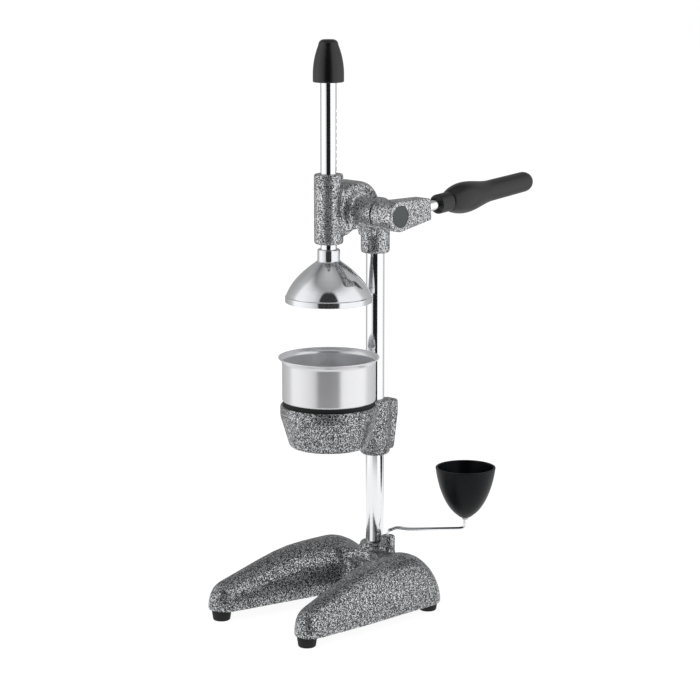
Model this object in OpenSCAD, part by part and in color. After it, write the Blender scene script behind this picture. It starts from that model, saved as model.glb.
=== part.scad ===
// Hand press for citrus fruit: a lever turns a toothed sector, which drives a rack and a bell
// down over a ribbed cone that stands in a steel cup.
// Frame: the rack's axis is the Z axis, Z is up from the worktop, the press faces -Y, and the
// post stands behind the rack on +Y. The lever is on the +X side. All lengths are in millimetres.

/* [Layout] */
// Distance from the rack's axis back to the post's axis
post_reach = 77; // [75:0.5:80]
// Height of the lever's shaft above the worktop
shaft_z = 481.4; // [470:0.1:500]
// Height of the cup's rim above the worktop
cup_rim_z = 312; // [302:0.5:318]
// Height of the bell's rim above the worktop with the lever back
bell_rim_z = 377.3; // [374:0.1:386]
// Gap in radius of every running fit, thread and pressed fit
fit_gap = 0.05; // [0.03:0.01:0.08]
// Gap between a turning piece and the fixed face beside it
side_gap = 0.3; // [0.2:0.05:0.4]
// Gap between the lever's hub and the end of the shaft's long boss
hub_gap = 0.8; // [0.3:0.1:1.2]

/* [Base] */
// Height of the casting's lower edge above the worktop
base_edge_z = 12; // [10:0.5:16]
// Front end of the legs
toe_y = -121; // [-135:1:-119]
// Rear end of the base
rear_y = 107; // [104:1:112]
// Half width of the base over its legs
base_half_w = 95; // [90:0.5:100]
// How much the toes draw in from that half width
toe_draw_in = 4; // [0:0.5:8]
// Half of the gap between the legs at the rack's axis
leg_gap_half = 31.3; // [28:0.1:36]
// Sideways lean of a leg's inner edge for each millimetre forward
leg_splay = 0.21; // [0.17:0.01:0.24]
// Height of a toe above the casting's lower edge
toe_h = 33; // [30:1:42]
// Height of the heel above the casting's lower edge
heel_h = 61; // [56:1:64]
// Rise of a leg's crest for each millimetre back
leg_rise = 0.27; // [0.22:0.01:0.3]
// How much lower the middle of the base is than the crests
saddle_drop = 6; // [3:0.5:10]
// Wall of the base casting
base_wall = 5; // [4:0.5:6]
// Thickness of the ribs under the base
base_rib = 5; // [4:0.5:7]
// Top of the post's socket above the worktop
base_socket_z = 75; // [73:0.5:80]
// Radius of the post's socket
base_socket_r = 18; // [16:0.5:20]

/* [Feet] */
// Sideways place of the feet
foot_x = 72.5; // [70:0.5:74]
// Place of the front feet along Y
front_foot_y = -107; // [-109:0.5:-104]
// Place of the rear feet along Y
rear_foot_y = 94; // [84:0.5:95]
// Radius of a foot where it meets the casting
foot_top_r = 11.8; // [10.5:0.1:13]
// Radius of a foot on the worktop
foot_low_r = 10.2; // [9:0.1:11]
// Radius of a foot screw's shank
foot_screw_r = 2.5; // [2:0.1:3]

/* [Post] */
// Radius of the post
post_r = 11; // [10.5:0.1:11.5]
// Height of the post's lower end above the worktop
post_low_z = 30; // [28:0.5:34]
// Radius of the bolt that holds the post
post_bolt_r = 5; // [4:0.5:6]

/* [Head] */
// Radius of the rack's sleeve
sleeve_r = 17; // [16:0.1:18]
// Lower end of the rack's sleeve below the shaft
sleeve_below = 36.4; // [32:0.1:38]
// Upper end of the rack's sleeve above the shaft
sleeve_above = 45.2; // [43:0.1:50]
// Radius of the post's socket in the head
head_socket_r = 17.2; // [16.5:0.1:18]
// Lower end of the post's socket below the shaft
head_socket_below = 55; // [50:0.5:57]
// How deep the post goes into the head
head_socket_depth = 30.5; // [26:0.5:31]
// Half width of the gear housing
housing_half_w = 19; // [14:0.5:20]
// Half width of the web under it
web_half_w = 12.5; // [11:0.5:14]
// Wall over the gear
housing_wall = 3.5; // [3:0.25:5]
// Radius of the shaft's long boss
shaft_boss_r = 17; // [15:0.1:18]
// End of the shaft's long boss on the lever's side
shaft_boss_x = 49.6; // [46:0.1:52]
// End of the shaft's short boss on the far side
far_boss_x = 26; // [24:0.5:30]
// Radius of the shaft's short boss
far_boss_r = 15; // [13:0.5:17]

/* [Gear and rack] */
// Size of the teeth: pitch diameter over number of teeth
tooth_module = 2.5; // [2.4:0.05:2.6]
// Teeth that a full gear of this size would have
gear_teeth = 22; // [22:1:24]
// Teeth that the sector has
sector_teeth = 15; // [15:1:15]
// Width of the gear's teeth
gear_w = 14; // [12:0.5:15]
// Radius of the gear's hub
gear_hub_r = 13.5; // [12:0.5:15]
// Pressure angle of the teeth in degrees
pressure_angle = 20; // [19:0.5:22]
// Free play on each side of a gear tooth
tooth_play = 0.12; // [0.08:0.02:0.2]
// Gap between the gear's tips and its housing
gear_room = 1.25; // [1:0.25:2]
// Radius of the rack's bar
rack_r = 9.5; // [9.3:0.05:9.6]
// How far the tooth tips stand inside the bar's surface
rack_flat = 0.25; // [0.2:0.05:0.5]
// Tooth gaps along the rack
rack_gaps = 17; // [17:1:19]
// Length of the rack above the shaft
rack_above = 186; // [180:1:195]

/* [Rack cap] */
// Lower end of the cap above the shaft
cap_above = 150.6; // [148:0.2:156]
// Length of the cap
cap_len = 48.5; // [42:0.5:50]
// Largest radius of the cap
cap_r = 18; // [16:0.1:20]
// Radius of the cap's rounded top
cap_top_r = 11.5; // [9:0.1:13]

/* [Shaft and lever] */
// Radius of the shaft
shaft_r = 8; // [7.5:0.1:8.5]
// Wall of the shaft's bushes
bush_wall = 2.5; // [2:0.1:3]
// Radius of the lever's hub
lever_hub_r = 17.8; // [17:0.1:19]
// Outer face of the lever's hub
lever_face_x = 82.9; // [78:0.1:88]
// Thickness of the lever's arm
arm_w = 22; // [20:0.5:24]
// Length of the arm from the shaft's axis
arm_len = 50.5; // [46:0.5:56]
// Half height of the arm's end
arm_end_half = 13; // [11:0.25:14]
// Upward tilt of the lever at rest in degrees
lever_tilt = 4.75; // [4:0.25:8]
// Radius of the dark disc on the hub
disc_r = 12.8; // [11:0.1:14]
// Thickness of the dark disc
disc_t = 3; // [2:0.25:4]
// Radius of the lever's rod
rod_r = 6; // [5.5:0.1:6.5]
// How deep the rod goes into the arm
rod_in_arm = 22; // [18:1:26]
// Radius of the pin that holds the hub on the shaft
hub_pin_r = 2.5; // [2:0.25:3]

/* [Grip] */
// Start of the grip from the shaft's axis
grip_start = 71.5; // [68:0.5:84]
// Length of the grip
grip_len = 166.5; // [150:0.5:180]
// Radius of the grip's collar
grip_collar_r = 11.5; // [10:0.1:12]
// Length of the grip's collar
grip_collar_len = 21; // [16:0.5:24]
// Largest radius of the grip
grip_swell_r = 18.3; // [16:0.1:20]
// Radius of the grip's tail
grip_tail_r = 12.6; // [11:0.1:14]

/* [Bell] */
// Radius of the bell's rim
bell_r = 50.9; // [49:0.1:51.5]
// Height of the bell from its rim to its shoulder
bell_h = 47.5; // [45:0.5:49]
// Height of the band at the bell's rim
bell_band_h = 7; // [5:0.5:9]
// Wall of the bell
bell_wall = 2; // [1.6:0.1:2.4]
// How much the bell draws in by its slope at the band
bell_lean = 13.6; // [10:0.1:18]
// How much more it draws in by its curve towards the neck
bell_curve = 22.2; // [18:0.1:26]
// Radius of the bell's neck
bell_neck_r = 13.4; // [12.6:0.1:14]
// Height of the bell's neck above its shoulder
bell_neck_h = 14.5; // [13:0.5:17]

/* [Bowl holder] */
// Radius of the holder's bowl
holder_r = 57.2; // [57:0.1:59]
// Radius of the holder's underside
holder_low_r = 46.5; // [42:0.5:48]
// Height of the holder's bowl
holder_h = 51; // [48:0.5:54]
// Wall of the holder's bowl
holder_wall = 6; // [5:0.5:7]
// Radius of the holder's post boss
holder_boss_r = 18; // [17:0.25:19]
// Height of the holder's post boss
holder_boss_h = 67; // [62:1:70]
// Half width of the rib behind the post boss
holder_rib_half = 9; // [8:0.25:10]
// Reach of that rib behind the post's axis
holder_rib_reach = 31.5; // [27:0.5:33]
// Thickness of the rubber ring under the cup
ring_t = 5.8; // [4:0.1:7]
// Radius of the rubber ring
ring_r = 54; // [53:0.1:54.2]

/* [Cup and cone] */
// Radius of the cup's wall
cup_r = 54.8; // [54.5:0.1:55.5]
// How far the cup's lip flares beyond its wall
cup_lip = 4.4; // [3:0.1:5]
// Height of the cup above its shoulder
cup_h = 52; // [50:0.5:54]
// Radius of the basin under the cup's shoulder
basin_r = 47; // [45:0.5:47.5]
// Depth of the basin
basin_h = 22; // [18:0.5:26]
// Wall of the cup
cup_wall = 1.2; // [1:0.1:1.5]
// Radius of the cup's spout
spout_r = 12; // [10:0.5:14]
// Radius of the cone's foot
cone_r = 36; // [33:0.5:38]
// Height of the cone above its plate
cone_h = 35; // [30:0.5:36]
// Thickness of the cone's plate
plate_t = 1.6; // [1.2:0.1:2]
// Ribs around the cone, an even number
cone_ribs = 12; // [8:2:14]
// Width of a rib on the cone
rib_w = 2.4; // [2:0.2:3]
// Depth of the grooves between the ribs
rib_depth = 3.5; // [2.5:0.25:4]
// Juice slots around the cone's plate
plate_slots = 24; // [16:2:30]

/* [Drip arm] */
// Sideways place of the arm's pivot
pivot_x = 22; // [20.5:0.25:23]
// Radius of the pivot's boss
pivot_boss_r = 8.8; // [8:0.1:10]
// Top of the pivot's boss above the worktop
pivot_boss_z = 86; // [82:0.5:88]
// Radius of the arm's wire
wire_r = 2; // [1.5:0.05:2.2]
// Reach of the arm from its pivot to the drip cup's axis
arm_reach = 93; // [90:0.5:100]
// Height of the arm's straight stretch above the pivot's boss
arm_rise = 6.5; // [6:0.25:8.5]
// Direction of the arm at rest, in degrees from +X towards +Y
arm_turn = 48.5; // [40:0.5:60]
// Radius of the drip cup's rim
drip_r = 36; // [33:0.5:38]
// Height of the drip cup
drip_h = 62; // [58:0.5:68]
// Wall of the drip cup
drip_wall = 2.6; // [2:0.1:3.2]

/* [Hidden] */
$fn = 72;

// Gear and rack
tooth_pitch = PI * tooth_module;
pitch_r = tooth_module * gear_teeth / 2;
base_circle_r = pitch_r * cos(pressure_angle);
tip_r = pitch_r + tooth_module;
root_r = pitch_r - 1.25 * tooth_module;
tip_y = rack_r - rack_flat;
pitch_y = tip_y - tooth_module;
root_y = pitch_y - 1.25 * tooth_module;
shaft_y = pitch_y + pitch_r;
lead_teeth = 1;
gear_room_r = tip_r + gear_room;
slot_half_w = gear_w / 2 + 1;
housing_r = gear_room_r + housing_wall;

// Heights on the post and the head
sleeve_low_z = shaft_z - sleeve_below;
sleeve_top_z = shaft_z + sleeve_above;
socket_low_z = shaft_z - head_socket_below;
post_top_z = socket_low_z + head_socket_depth;
arch_z = shaft_z - shaft_boss_r - 3.4;
arch_corner = 12;
head_screw_zs = [socket_low_z + 8, socket_low_z + 22];
screw_r = 4;

// Bell and rack ends
bell_shoulder_z = bell_rim_z + bell_h;
bell_floor_z = bell_shoulder_z + 2;
neck_top_z = bell_shoulder_z + bell_neck_h;
rack_low_z = bell_floor_z;
rack_top_z = shaft_z + rack_above;
cap_low_z = shaft_z + cap_above;
bell_screw_r = 4;
bell_washer_t = 1.5;

// Cup, ring and holder
shoulder_z = cup_rim_z - cup_h;
ring_low_z = shoulder_z - ring_t;
holder_top_z = ring_low_z + 1.8;
holder_low_z = ring_low_z + 1.8 - holder_h;
basin_z = shoulder_z - basin_h;
plate_z = shoulder_z + cup_wall;
plate_r = cup_r - cup_wall - 0.8;
holder_boss_top_z = shoulder_z - 10;
holder_boss_low_z = holder_boss_top_z - holder_boss_h;
holder_screw_zs = [holder_boss_top_z - 17, holder_boss_top_z - 47];

// Lever
bush_r = shaft_r + bush_wall;
arm_x = lever_face_x - arm_w;
rod_x = lever_face_x - arm_w / 2 - 1.2;
hub_start_x = shaft_boss_x + hub_gap;
shaft_end_x = lever_face_x - disc_t - 0.2;
shaft_far_x = far_boss_x + 7;
arm_corner = 3;
rod_end = grip_start + grip_len - 20;

// Key between the shaft and the sector
key_w = 5;
key_low = shaft_r - 2.6;
key_top = shaft_r + 2.4;
key_half_len = gear_w / 2 - 0.5;

// Drip arm
arm_z = pivot_boss_z + arm_rise;
drip_low_z = arm_z + 14;
nut_r = 3.8;
nut_h = 2.4;
wire_top_z = drip_low_z + drip_wall + nut_h + 1.5;
pivot_depth = 30;

// A smooth lower bound of two heights, which rounds the corner where they cross
function soft_min(a, b, k) = -ln(exp(-k * a) + exp(-k * b)) / k;

// Share of the full size at fraction t of the way into a rounded end
function end_round(t, power) = t <= 0 ? 1 : t >= 1 ? 0 : pow(1 - pow(t, power), 1 / power);

// Crest height of a leg above the casting's lower edge, before its ends are rounded
function crest_h(y) = soft_min(toe_h + leg_rise * (y - toe_y - 14), heel_h, 0.3);

// Inner and outer edges of a leg at its foot
function leg_in(y) = leg_gap_half - leg_splay * y;
function leg_out(y) = base_half_w - toe_draw_in * max(0, min(1, (-28 - y) / 80));

// Fractions of a leg's width and height that its rounded toe and heel leave at y
function leg_width_share(y, inset) = min(
    end_round((toe_y + inset + 20 - y) / 20, 2.3),
    end_round((y - (rear_y - inset - 29)) / 29, 3));
function leg_height_share(y, inset) = min(
    end_round((toe_y + inset + 20 - y) / 20, 2.8),
    end_round((y - (rear_y - inset - 47)) / 47, 2.2));

// One cross section of a leg: a flat foot under a rounded back, fuller on the inner side
function leg_section(y, inset, floor_z, steps) =
    let (mid = (leg_in(y) + leg_out(y)) / 2,
        wide = leg_width_share(y, inset),
        x_in = mid + (leg_in(y) + inset - mid) * wide,
        x_out = mid + (leg_out(y) - inset - mid) * wide,
        x_top = x_in + 0.53 * (x_out - x_in),
        h = (crest_h(y) - inset) * leg_height_share(y, inset))
    concat([[x_in, y, floor_z]],
        [for (i = [0 : steps])
            let (a = 180 - 180 * i / steps,
                side = cos(a),
                power = side < 0 ? 2.5 : 2.2)
            [x_top + (side < 0 ? x_top - x_in : x_out - x_top)
                    * sign(side) * pow(abs(side), 2 / power),
                y,
                base_edge_z + h * pow(max(0, sin(a)), 2 / power)]],
        [[x_out, y, floor_z]]);

// Places of the cross sections along a leg, close together in its rounded ends
function leg_stations(inset) = concat(
    [for (a = [9 : 13.5 : 90]) toe_y + inset + 20 * (1 - cos(a))],
    [for (i = [1 : 7]) toe_y + inset + 20 + (rear_y - toe_y - 2 * inset - 67) * i / 8],
    [for (a = [90 : -9 : 9]) rear_y - inset - 47 * (1 - cos(a))]);

// A skin over a list of cross sections with equal numbers of points
module loft(sections) {
    rows = len(sections);
    cols = len(sections[0]);
    points = [for (s = sections, p = s) p];
    sides = [for (r = [0 : rows - 2], c = [0 : cols - 1])
        let (a = r * cols + c, b = r * cols + (c + 1) % cols)
        each [[a, a + cols, b + cols], [a, b + cols, b]]];
    first = [[for (c = [0 : cols - 1]) c]];
    last = [[for (c = [cols - 1 : -1 : 0]) (rows - 1) * cols + c]];
    polyhedron(points, concat(sides, first, last), convexity = 6);
}

// One leg, right or left, drawn in on every side by inset
module leg(inset = 0, drop = 2) {
    loft([for (y = leg_stations(inset)) leg_section(y, inset, base_edge_z - drop, 16)]);
}

module both_sides() {
    children();
    mirror([1, 0, 0]) children();
}

// A flat shape drawn in Y and Z, as thick as the stretch from x0 to x1
module along_x(x0, x1) {
    translate([x0, 0, 0]) rotate([90, 0, 90]) linear_extrude(x1 - x0) children();
}

module bar_x(r, x0, x1) {
    translate([x0, 0, 0]) rotate([0, 90, 0]) cylinder(r = r, h = x1 - x0);
}

module bar_y(r, y0, y1) {
    translate([0, y0, 0]) rotate([-90, 0, 0]) cylinder(r = r, h = y1 - y0);
}

// Half outline of a round bar with both ends rounded off
function bar_outline(r, z0, z1, low, top, steps = 5) = concat(
    [[0, z0]],
    [for (i = [0 : steps])
        let (a = 90 * i / steps) [r - low + low * sin(a), z0 + low - low * cos(a)]],
    [for (i = [0 : steps])
        let (a = 90 * i / steps) [r - top + top * cos(a), z1 - top + top * sin(a)]],
    [[0, z1]]);

module round_bar(r, z0, z1, low, top) {
    rotate_extrude() polygon(bar_outline(r, z0, z1, low, top));
}

module at_shaft() {
    translate([0, shaft_y, shaft_z]) children();
}

module at_lever() {
    at_shaft() rotate([lever_tilt, 0, 0]) children();
}

module at_post(z = 0) {
    translate([0, post_reach, z]) children();
}

module at_pivot(z = 0) {
    translate([pivot_x, post_reach, z]) rotate([0, 0, arm_turn]) children();
}

// Base

// The part of the base between its legs, hollowed at the front like a bay
module base_middle(inset) {
    ys = [for (i = [0 : 12]) rear_y - inset - 47 * (1 - cos(90 - 84 * i / 12))];
    front_y = 8;
    low_z = base_edge_z - 2;
    tops = [for (y = ys)
        [y, base_edge_z + (heel_h - saddle_drop - inset) * leg_height_share(y, inset)]];
    difference() {
        along_x(-base_half_w * 0.58, base_half_w * 0.58)
            polygon(concat([[front_y, low_z], [front_y, tops[0][1]]], tops,
                [[tops[12][0], low_z]]));
        translate([0, 6, low_z - 1])
            cylinder(r1 = 37.5 + inset, r2 = 53 + inset, h = heel_h + 3);
    }
}

module base_underside() {
    difference() {
        union() {
            both_sides() leg(base_wall);
            base_middle(base_wall);
        }
        for (y = [-58, -4, 46])
            translate([-100, y, base_edge_z + 4]) cube([200, base_rib, 80]);
        for (x = [-32, 32])
            translate([x - base_rib / 2, 40, base_edge_z + 4]) cube([base_rib, 80, 80]);
        at_post(base_edge_z - 5) cylinder(r = base_socket_r + 1, h = 90);
        at_pivot(pivot_boss_z - pivot_depth - 6) cylinder(r = pivot_boss_r, h = 80);
        for (p = foot_places())
            translate([p[0], p[1], base_edge_z]) cylinder(r = 8.5, h = 80);
    }
}

function foot_places() = [for (y = [front_foot_y, rear_foot_y], x = [foot_x, -foot_x]) [x, y]];

module base_casting() {
    bolt_head_z = base_edge_z + 8;
    color([0.42, 0.43, 0.44]) difference() {
        union() {
            both_sides() leg();
            base_middle(0);
            at_post() rotate_extrude()
                polygon(concat([[0, base_edge_z]],
                    [for (i = [0 : 6])
                        [base_socket_r + 14 * (1 - sin(15 * i)),
                            base_socket_z - 4 - 16 * cos(15 * i)]],
                    [[base_socket_r, base_socket_z - 2], [base_socket_r - 2, base_socket_z],
                        [0, base_socket_z]]));
            at_pivot() round_bar(pivot_boss_r, base_edge_z + 20, pivot_boss_z, 1, 2);
        }
        base_underside();
        translate([-150, -150, -40]) cube([300, 300, 40 + base_edge_z]);
        at_post(post_low_z) cylinder(r = post_r + fit_gap, h = 80);
        at_post(base_edge_z - 1) cylinder(r = 10.5, h = bolt_head_z - base_edge_z + 1);
        at_post(base_edge_z) cylinder(r = post_bolt_r + 0.3, h = 40);
        at_pivot(pivot_boss_z - pivot_depth) cylinder(r = wire_r + fit_gap, h = 40);
        for (p = foot_places())
            translate([p[0], p[1], base_edge_z - 1])
                cylinder(r = foot_screw_r + fit_gap, h = 17);
    }
}

module foot(place) {
    color([0.06, 0.06, 0.06]) translate([place[0], place[1], 0]) difference() {
        rotate_extrude() polygon([[0, 0], [foot_low_r - 1.2, 0], [foot_low_r, 1.2],
            [foot_top_r, base_edge_z], [0, base_edge_z]]);
        translate([0, 0, -1]) cylinder(r = foot_screw_r + 3, h = 6);
        cylinder(r = foot_screw_r + fit_gap, h = base_edge_z + 1);
    }
}

module foot_screw(place) {
    color([0.7, 0.7, 0.72]) translate([place[0], place[1], 0]) {
        rotate_extrude() polygon([[0, 2], [3.4, 2], [4.6, 3.4], [4.6, 5], [foot_screw_r, 5],
            [foot_screw_r, base_edge_z + 14], [0, base_edge_z + 14]]);
    }
}

module post() {
    color([0.82, 0.83, 0.85]) at_post() difference() {
        rotate_extrude() polygon([[0, post_low_z], [post_r - 1, post_low_z],
            [post_r, post_low_z + 1], [post_r, post_top_z - 1], [post_r - 1, post_top_z],
            [0, post_top_z]]);
        translate([0, 0, post_low_z - 1]) cylinder(r = post_bolt_r + fit_gap, h = 34);
    }
}

module post_bolt() {
    washer_top_z = base_edge_z + 8;
    head_top_z = washer_top_z - 2;
    color([0.7, 0.7, 0.72]) at_post() {
        translate([0, 0, head_top_z - 6]) cylinder(r = 8.5, h = 6, $fn = 6);
        translate([0, 0, head_top_z - 1]) cylinder(r = post_bolt_r, h = post_low_z - head_top_z + 28);
    }
}

module post_washer() {
    washer_top_z = base_edge_z + 8;
    color([0.7, 0.7, 0.72]) at_post(washer_top_z - 2) difference() {
        cylinder(r = 10, h = 2);
        translate([0, 0, -1]) cylinder(r = post_bolt_r + fit_gap, h = 4);
    }
}

// Head

module arch_cut() {
    low_z = -sleeve_below - 30;
    left = sleeve_r - shaft_y;
    right = post_reach - head_socket_r - shaft_y;
    top = arch_z - shaft_z;
    along_x(-60, 60) {
        for (y = [left + arch_corner, right - arch_corner])
            translate([y, top - arch_corner]) circle(r = arch_corner);
        translate([left + arch_corner, low_z])
            square([right - left - 2 * arch_corner, top - low_z]);
        translate([left, low_z]) square([right - left, top - arch_corner - low_z]);
    }
}

module gear_housing() {
    edge = 7;
    at_shaft() difference() {
        union() {
            rotate([0, 90, 0]) round_bar(housing_r, -housing_half_w, housing_half_w, edge, edge);
            along_x(-web_half_w, web_half_w)
                polygon([[-shaft_y, -sleeve_below + 3], [post_reach - shaft_y, -sleeve_below + 3],
                    [post_reach - shaft_y, 8], [-shaft_y, 8]]);
        }
        arch_cut();
    }
}

module head_casting() {
    color([0.42, 0.43, 0.44]) difference() {
        union() {
            round_bar(sleeve_r, sleeve_low_z, sleeve_top_z, 2.5, 1.5);
            at_post() round_bar(head_socket_r, socket_low_z, shaft_z + 10, 3, 7);
            gear_housing();
            at_shaft() bar_x(shaft_boss_r, 0, shaft_boss_x);
            at_shaft() bar_x(far_boss_r, -far_boss_x, 0);
        }
        at_shaft() bar_x(gear_room_r, -slot_half_w, slot_half_w);
        at_shaft() bar_x(bush_r + fit_gap, -far_boss_x - 1, shaft_boss_x + 1);
        translate([0, 0, sleeve_low_z - 1])
            cylinder(r = rack_r + fit_gap, h = sleeve_top_z - sleeve_low_z + 2);
        at_post(socket_low_z - 1) cylinder(r = post_r + fit_gap, h = head_socket_depth + 1);
        for (z = head_screw_zs) at_post(z) bar_y(screw_r + fit_gap, 0, 30);
    }
}

// A headless screw in the back of a boss, with a six-sided socket in its outer end
module set_screw(y0, y1, r) {
    difference() {
        bar_y(r, y0, y1);
        translate([0, y1 - 3, 0]) rotate([-90, 0, 0]) cylinder(r = r * 0.5, h = 4, $fn = 6);
    }
}

module head_screw(z) {
    color([0.25, 0.25, 0.26]) at_post(z) set_screw(post_r + 0.1, head_socket_r - 0.6, screw_r);
}

module bush(x0, x1) {
    color([0.72, 0.56, 0.3]) at_shaft() difference() {
        bar_x(bush_r, x0, x1);
        bar_x(shaft_r + fit_gap, x0 - 1, x1 + 1);
    }
}

module bush_lever_side() {
    bush(slot_half_w, shaft_boss_x);
}

module bush_far_side() {
    bush(-far_boss_x, -slot_half_w);
}

// Rack, cap and bell

module rack() {
    first_gap = -lead_teeth;
    last_gap = rack_gaps - 1 - lead_teeth;
    slope = tan(pressure_angle);
    color([0.82, 0.83, 0.85]) difference() {
        rotate_extrude() polygon([[0, rack_low_z], [rack_r, rack_low_z],
            [rack_r, rack_top_z - 1], [rack_r - 1, rack_top_z], [0, rack_top_z]]);
        translate([-rack_r, tip_y, shaft_z + (first_gap - 0.5) * tooth_pitch])
            cube([2 * rack_r, 2, rack_gaps * tooth_pitch]);
        for (i = [first_gap : last_gap])
            translate([0, 0, shaft_z + i * tooth_pitch]) along_x(-rack_r - 1, rack_r + 1)
                polygon([[root_y, -tooth_pitch / 4 + (pitch_y - root_y) * slope],
                    [root_y, tooth_pitch / 4 - (pitch_y - root_y) * slope],
                    [tip_y + 1, tooth_pitch / 4 + (tip_y + 1 - pitch_y) * slope],
                    [tip_y + 1, -tooth_pitch / 4 - (tip_y + 1 - pitch_y) * slope]]);
        translate([0, 0, rack_low_z - 1]) cylinder(r = bell_screw_r + fit_gap, h = 26);
    }
}

module rack_cap() {
    color([0.05, 0.05, 0.05]) difference() {
        translate([0, 0, cap_low_z]) rotate_extrude()
            polygon(concat([[0, 0], [cap_r - 0.8, 0], [cap_r, 0.8]],
                [for (i = [0 : 8])
                    let (t = i / 8)
                    [cap_r - (cap_r - cap_top_r) * pow(t, 2.1), 8 + (cap_len - 14) * t]],
                [for (i = [1 : 5])
                    let (a = 18 * i)
                    [cap_top_r - 6 + 6 * cos(a), cap_len - 6 + 6 * sin(a)]],
                [[0, cap_len]]));
        translate([0, 0, cap_low_z - 1])
            cylinder(r = rack_r + fit_gap, h = rack_top_z + 0.2 - cap_low_z + 1);
    }
}

// Radius of the bell's dome at share t of its height above the band, shrunk by a wall
function dome_r(t, wall) = bell_r - 1 - bell_lean * t - bell_curve * t * t - wall;

module bell() {
    band = bell_band_h;
    rise = bell_h - bell_band_h;
    inner_share = (rise - bell_wall) / rise;
    outer = [for (i = [0 : 14]) let (t = i / 14) [max(bell_neck_r, dome_r(t, 0)), band + rise * t]];
    inner = [for (i = [14 : -1 : 0])
        let (t = inner_share * i / 14) [dome_r(t, bell_wall * 1.15), band + rise * t]];
    color([0.78, 0.79, 0.81]) translate([0, 0, bell_rim_z]) difference() {
        rotate_extrude() polygon(concat([[bell_r - bell_wall, 0], [bell_r - 0.5, 0],
            [bell_r, 0.6], [bell_r, band - 1], [bell_r - 0.4, band - 0.4]], outer,
            [[bell_neck_r, bell_h + bell_neck_h - 2.2], [bell_neck_r + 0.5, bell_h + bell_neck_h - 1.6],
                [bell_neck_r + 0.5, bell_h + bell_neck_h - 0.6],
                [bell_neck_r - 0.2, bell_h + bell_neck_h], [0, bell_h + bell_neck_h],
                [0, bell_h - bell_wall]], inner));
        translate([0, 0, bell_floor_z - bell_rim_z])
            cylinder(r = rack_r + fit_gap, h = bell_neck_h + 1);
        translate([0, 0, bell_h - bell_wall - 1]) cylinder(r = bell_screw_r + 0.2, h = 6);
    }
}

module bell_washer() {
    color([0.7, 0.7, 0.72]) translate([0, 0, bell_shoulder_z - bell_wall - bell_washer_t])
        difference() {
            cylinder(r = bell_neck_r - bell_wall - 1, h = bell_washer_t);
            translate([0, 0, -1]) cylinder(r = bell_screw_r + 0.2, h = bell_washer_t + 2);
        }
}

module bell_screw() {
    head_z = bell_shoulder_z - bell_wall - bell_washer_t;
    color([0.7, 0.7, 0.72]) difference() {
        rotate_extrude() polygon([[0, head_z - 4], [4, head_z - 4], [6, head_z - 3],
            [7, head_z - 1.4], [7, head_z], [bell_screw_r, head_z],
            [bell_screw_r, rack_low_z + 20], [0, rack_low_z + 20]]);
        translate([0, 0, head_z - 5]) cylinder(r = 2.6, h = 3.4, $fn = 6);
    }
}

// Sector gear

// Turn of the involute between its base circle and radius r, in degrees
function involute(r) = let (t = sqrt(max(0, pow(r / base_circle_r, 2) - 1))) t * 180 / PI - atan(t);

// Half of a tooth's width at radius r, in degrees
function tooth_half(r) = 90 / gear_teeth - tooth_play / pitch_r * 180 / PI
    + involute(pitch_r) - involute(max(r, base_circle_r));

function polar(r, a) = [r * cos(a), r * sin(a)];

// One tooth's outline, from its root on one side to its root on the other
function tooth_points(a) = let (rs = concat([root_r],
        [for (i = [0 : 5]) base_circle_r + (tip_r - base_circle_r) * i / 5]))
    concat([for (r = rs) polar(r, a - tooth_half(r))],
        [for (i = [6 : -1 : 0]) polar(rs[i], a + tooth_half(rs[i]))]);

module sector_gear() {
    step = 360 / gear_teeth;
    last = 180 + lead_teeth * step;
    first = last - (sector_teeth - 1) * step;
    color([0.5, 0.5, 0.52]) at_shaft() difference() {
        union() {
            along_x(-gear_w / 2, gear_w / 2)
                polygon(concat([[0, 0], polar(root_r, first - step / 2)],
                    [for (i = [0 : sector_teeth - 1]) each tooth_points(first + i * step)],
                    [polar(root_r, last + step / 2)]));
            bar_x(gear_hub_r, -slot_half_w + side_gap, slot_half_w - side_gap);
        }
        bar_x(shaft_r + fit_gap, -20, 20);
        translate([-20, -key_w / 2 - fit_gap, 0])
            cube([40, key_w + 2 * fit_gap, key_top + fit_gap]);
    }
}

module shaft() {
    color([0.6, 0.6, 0.62]) at_shaft() difference() {
        rotate([0, 90, 0]) rotate_extrude() polygon([[0, -shaft_far_x], [shaft_r - 1, -shaft_far_x],
            [shaft_r, -shaft_far_x + 1], [shaft_r, shaft_end_x - 1], [shaft_r - 1, shaft_end_x],
            [0, shaft_end_x]]);
        translate([-key_half_len - fit_gap, -key_w / 2 - fit_gap, key_low])
            cube([2 * (key_half_len + fit_gap), key_w + 2 * fit_gap, 10]);
        rotate([lever_tilt, 0, 0]) translate([rod_x, 0, -20]) cylinder(r = hub_pin_r + fit_gap, h = 40);
    }
}

module gear_key() {
    color([0.55, 0.55, 0.56]) at_shaft()
        translate([-key_half_len, -key_w / 2, key_low]) cube([2 * key_half_len, key_w, key_top - key_low]);
}

module shaft_collar() {
    color([0.7, 0.7, 0.72]) at_shaft() difference() {
        bar_x(far_boss_r - 2, -far_boss_x - 8, -far_boss_x - side_gap);
        bar_x(shaft_r + fit_gap, -far_boss_x - 9, -far_boss_x);
        translate([-far_boss_x - 4.2, 0, -20]) cylinder(r = 2.5 + fit_gap, h = 20);
    }
}

module collar_screw() {
    color([0.25, 0.25, 0.26]) at_shaft() difference() {
        translate([-far_boss_x - 4.2, 0, -far_boss_r + 2.4])
            cylinder(r = 2.5, h = far_boss_r - 2.4 - shaft_r - 0.1);
        translate([-far_boss_x - 4.2, 0, -far_boss_r]) cylinder(r = 1.3, h = 4, $fn = 6);
    }
}

// Lever

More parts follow.
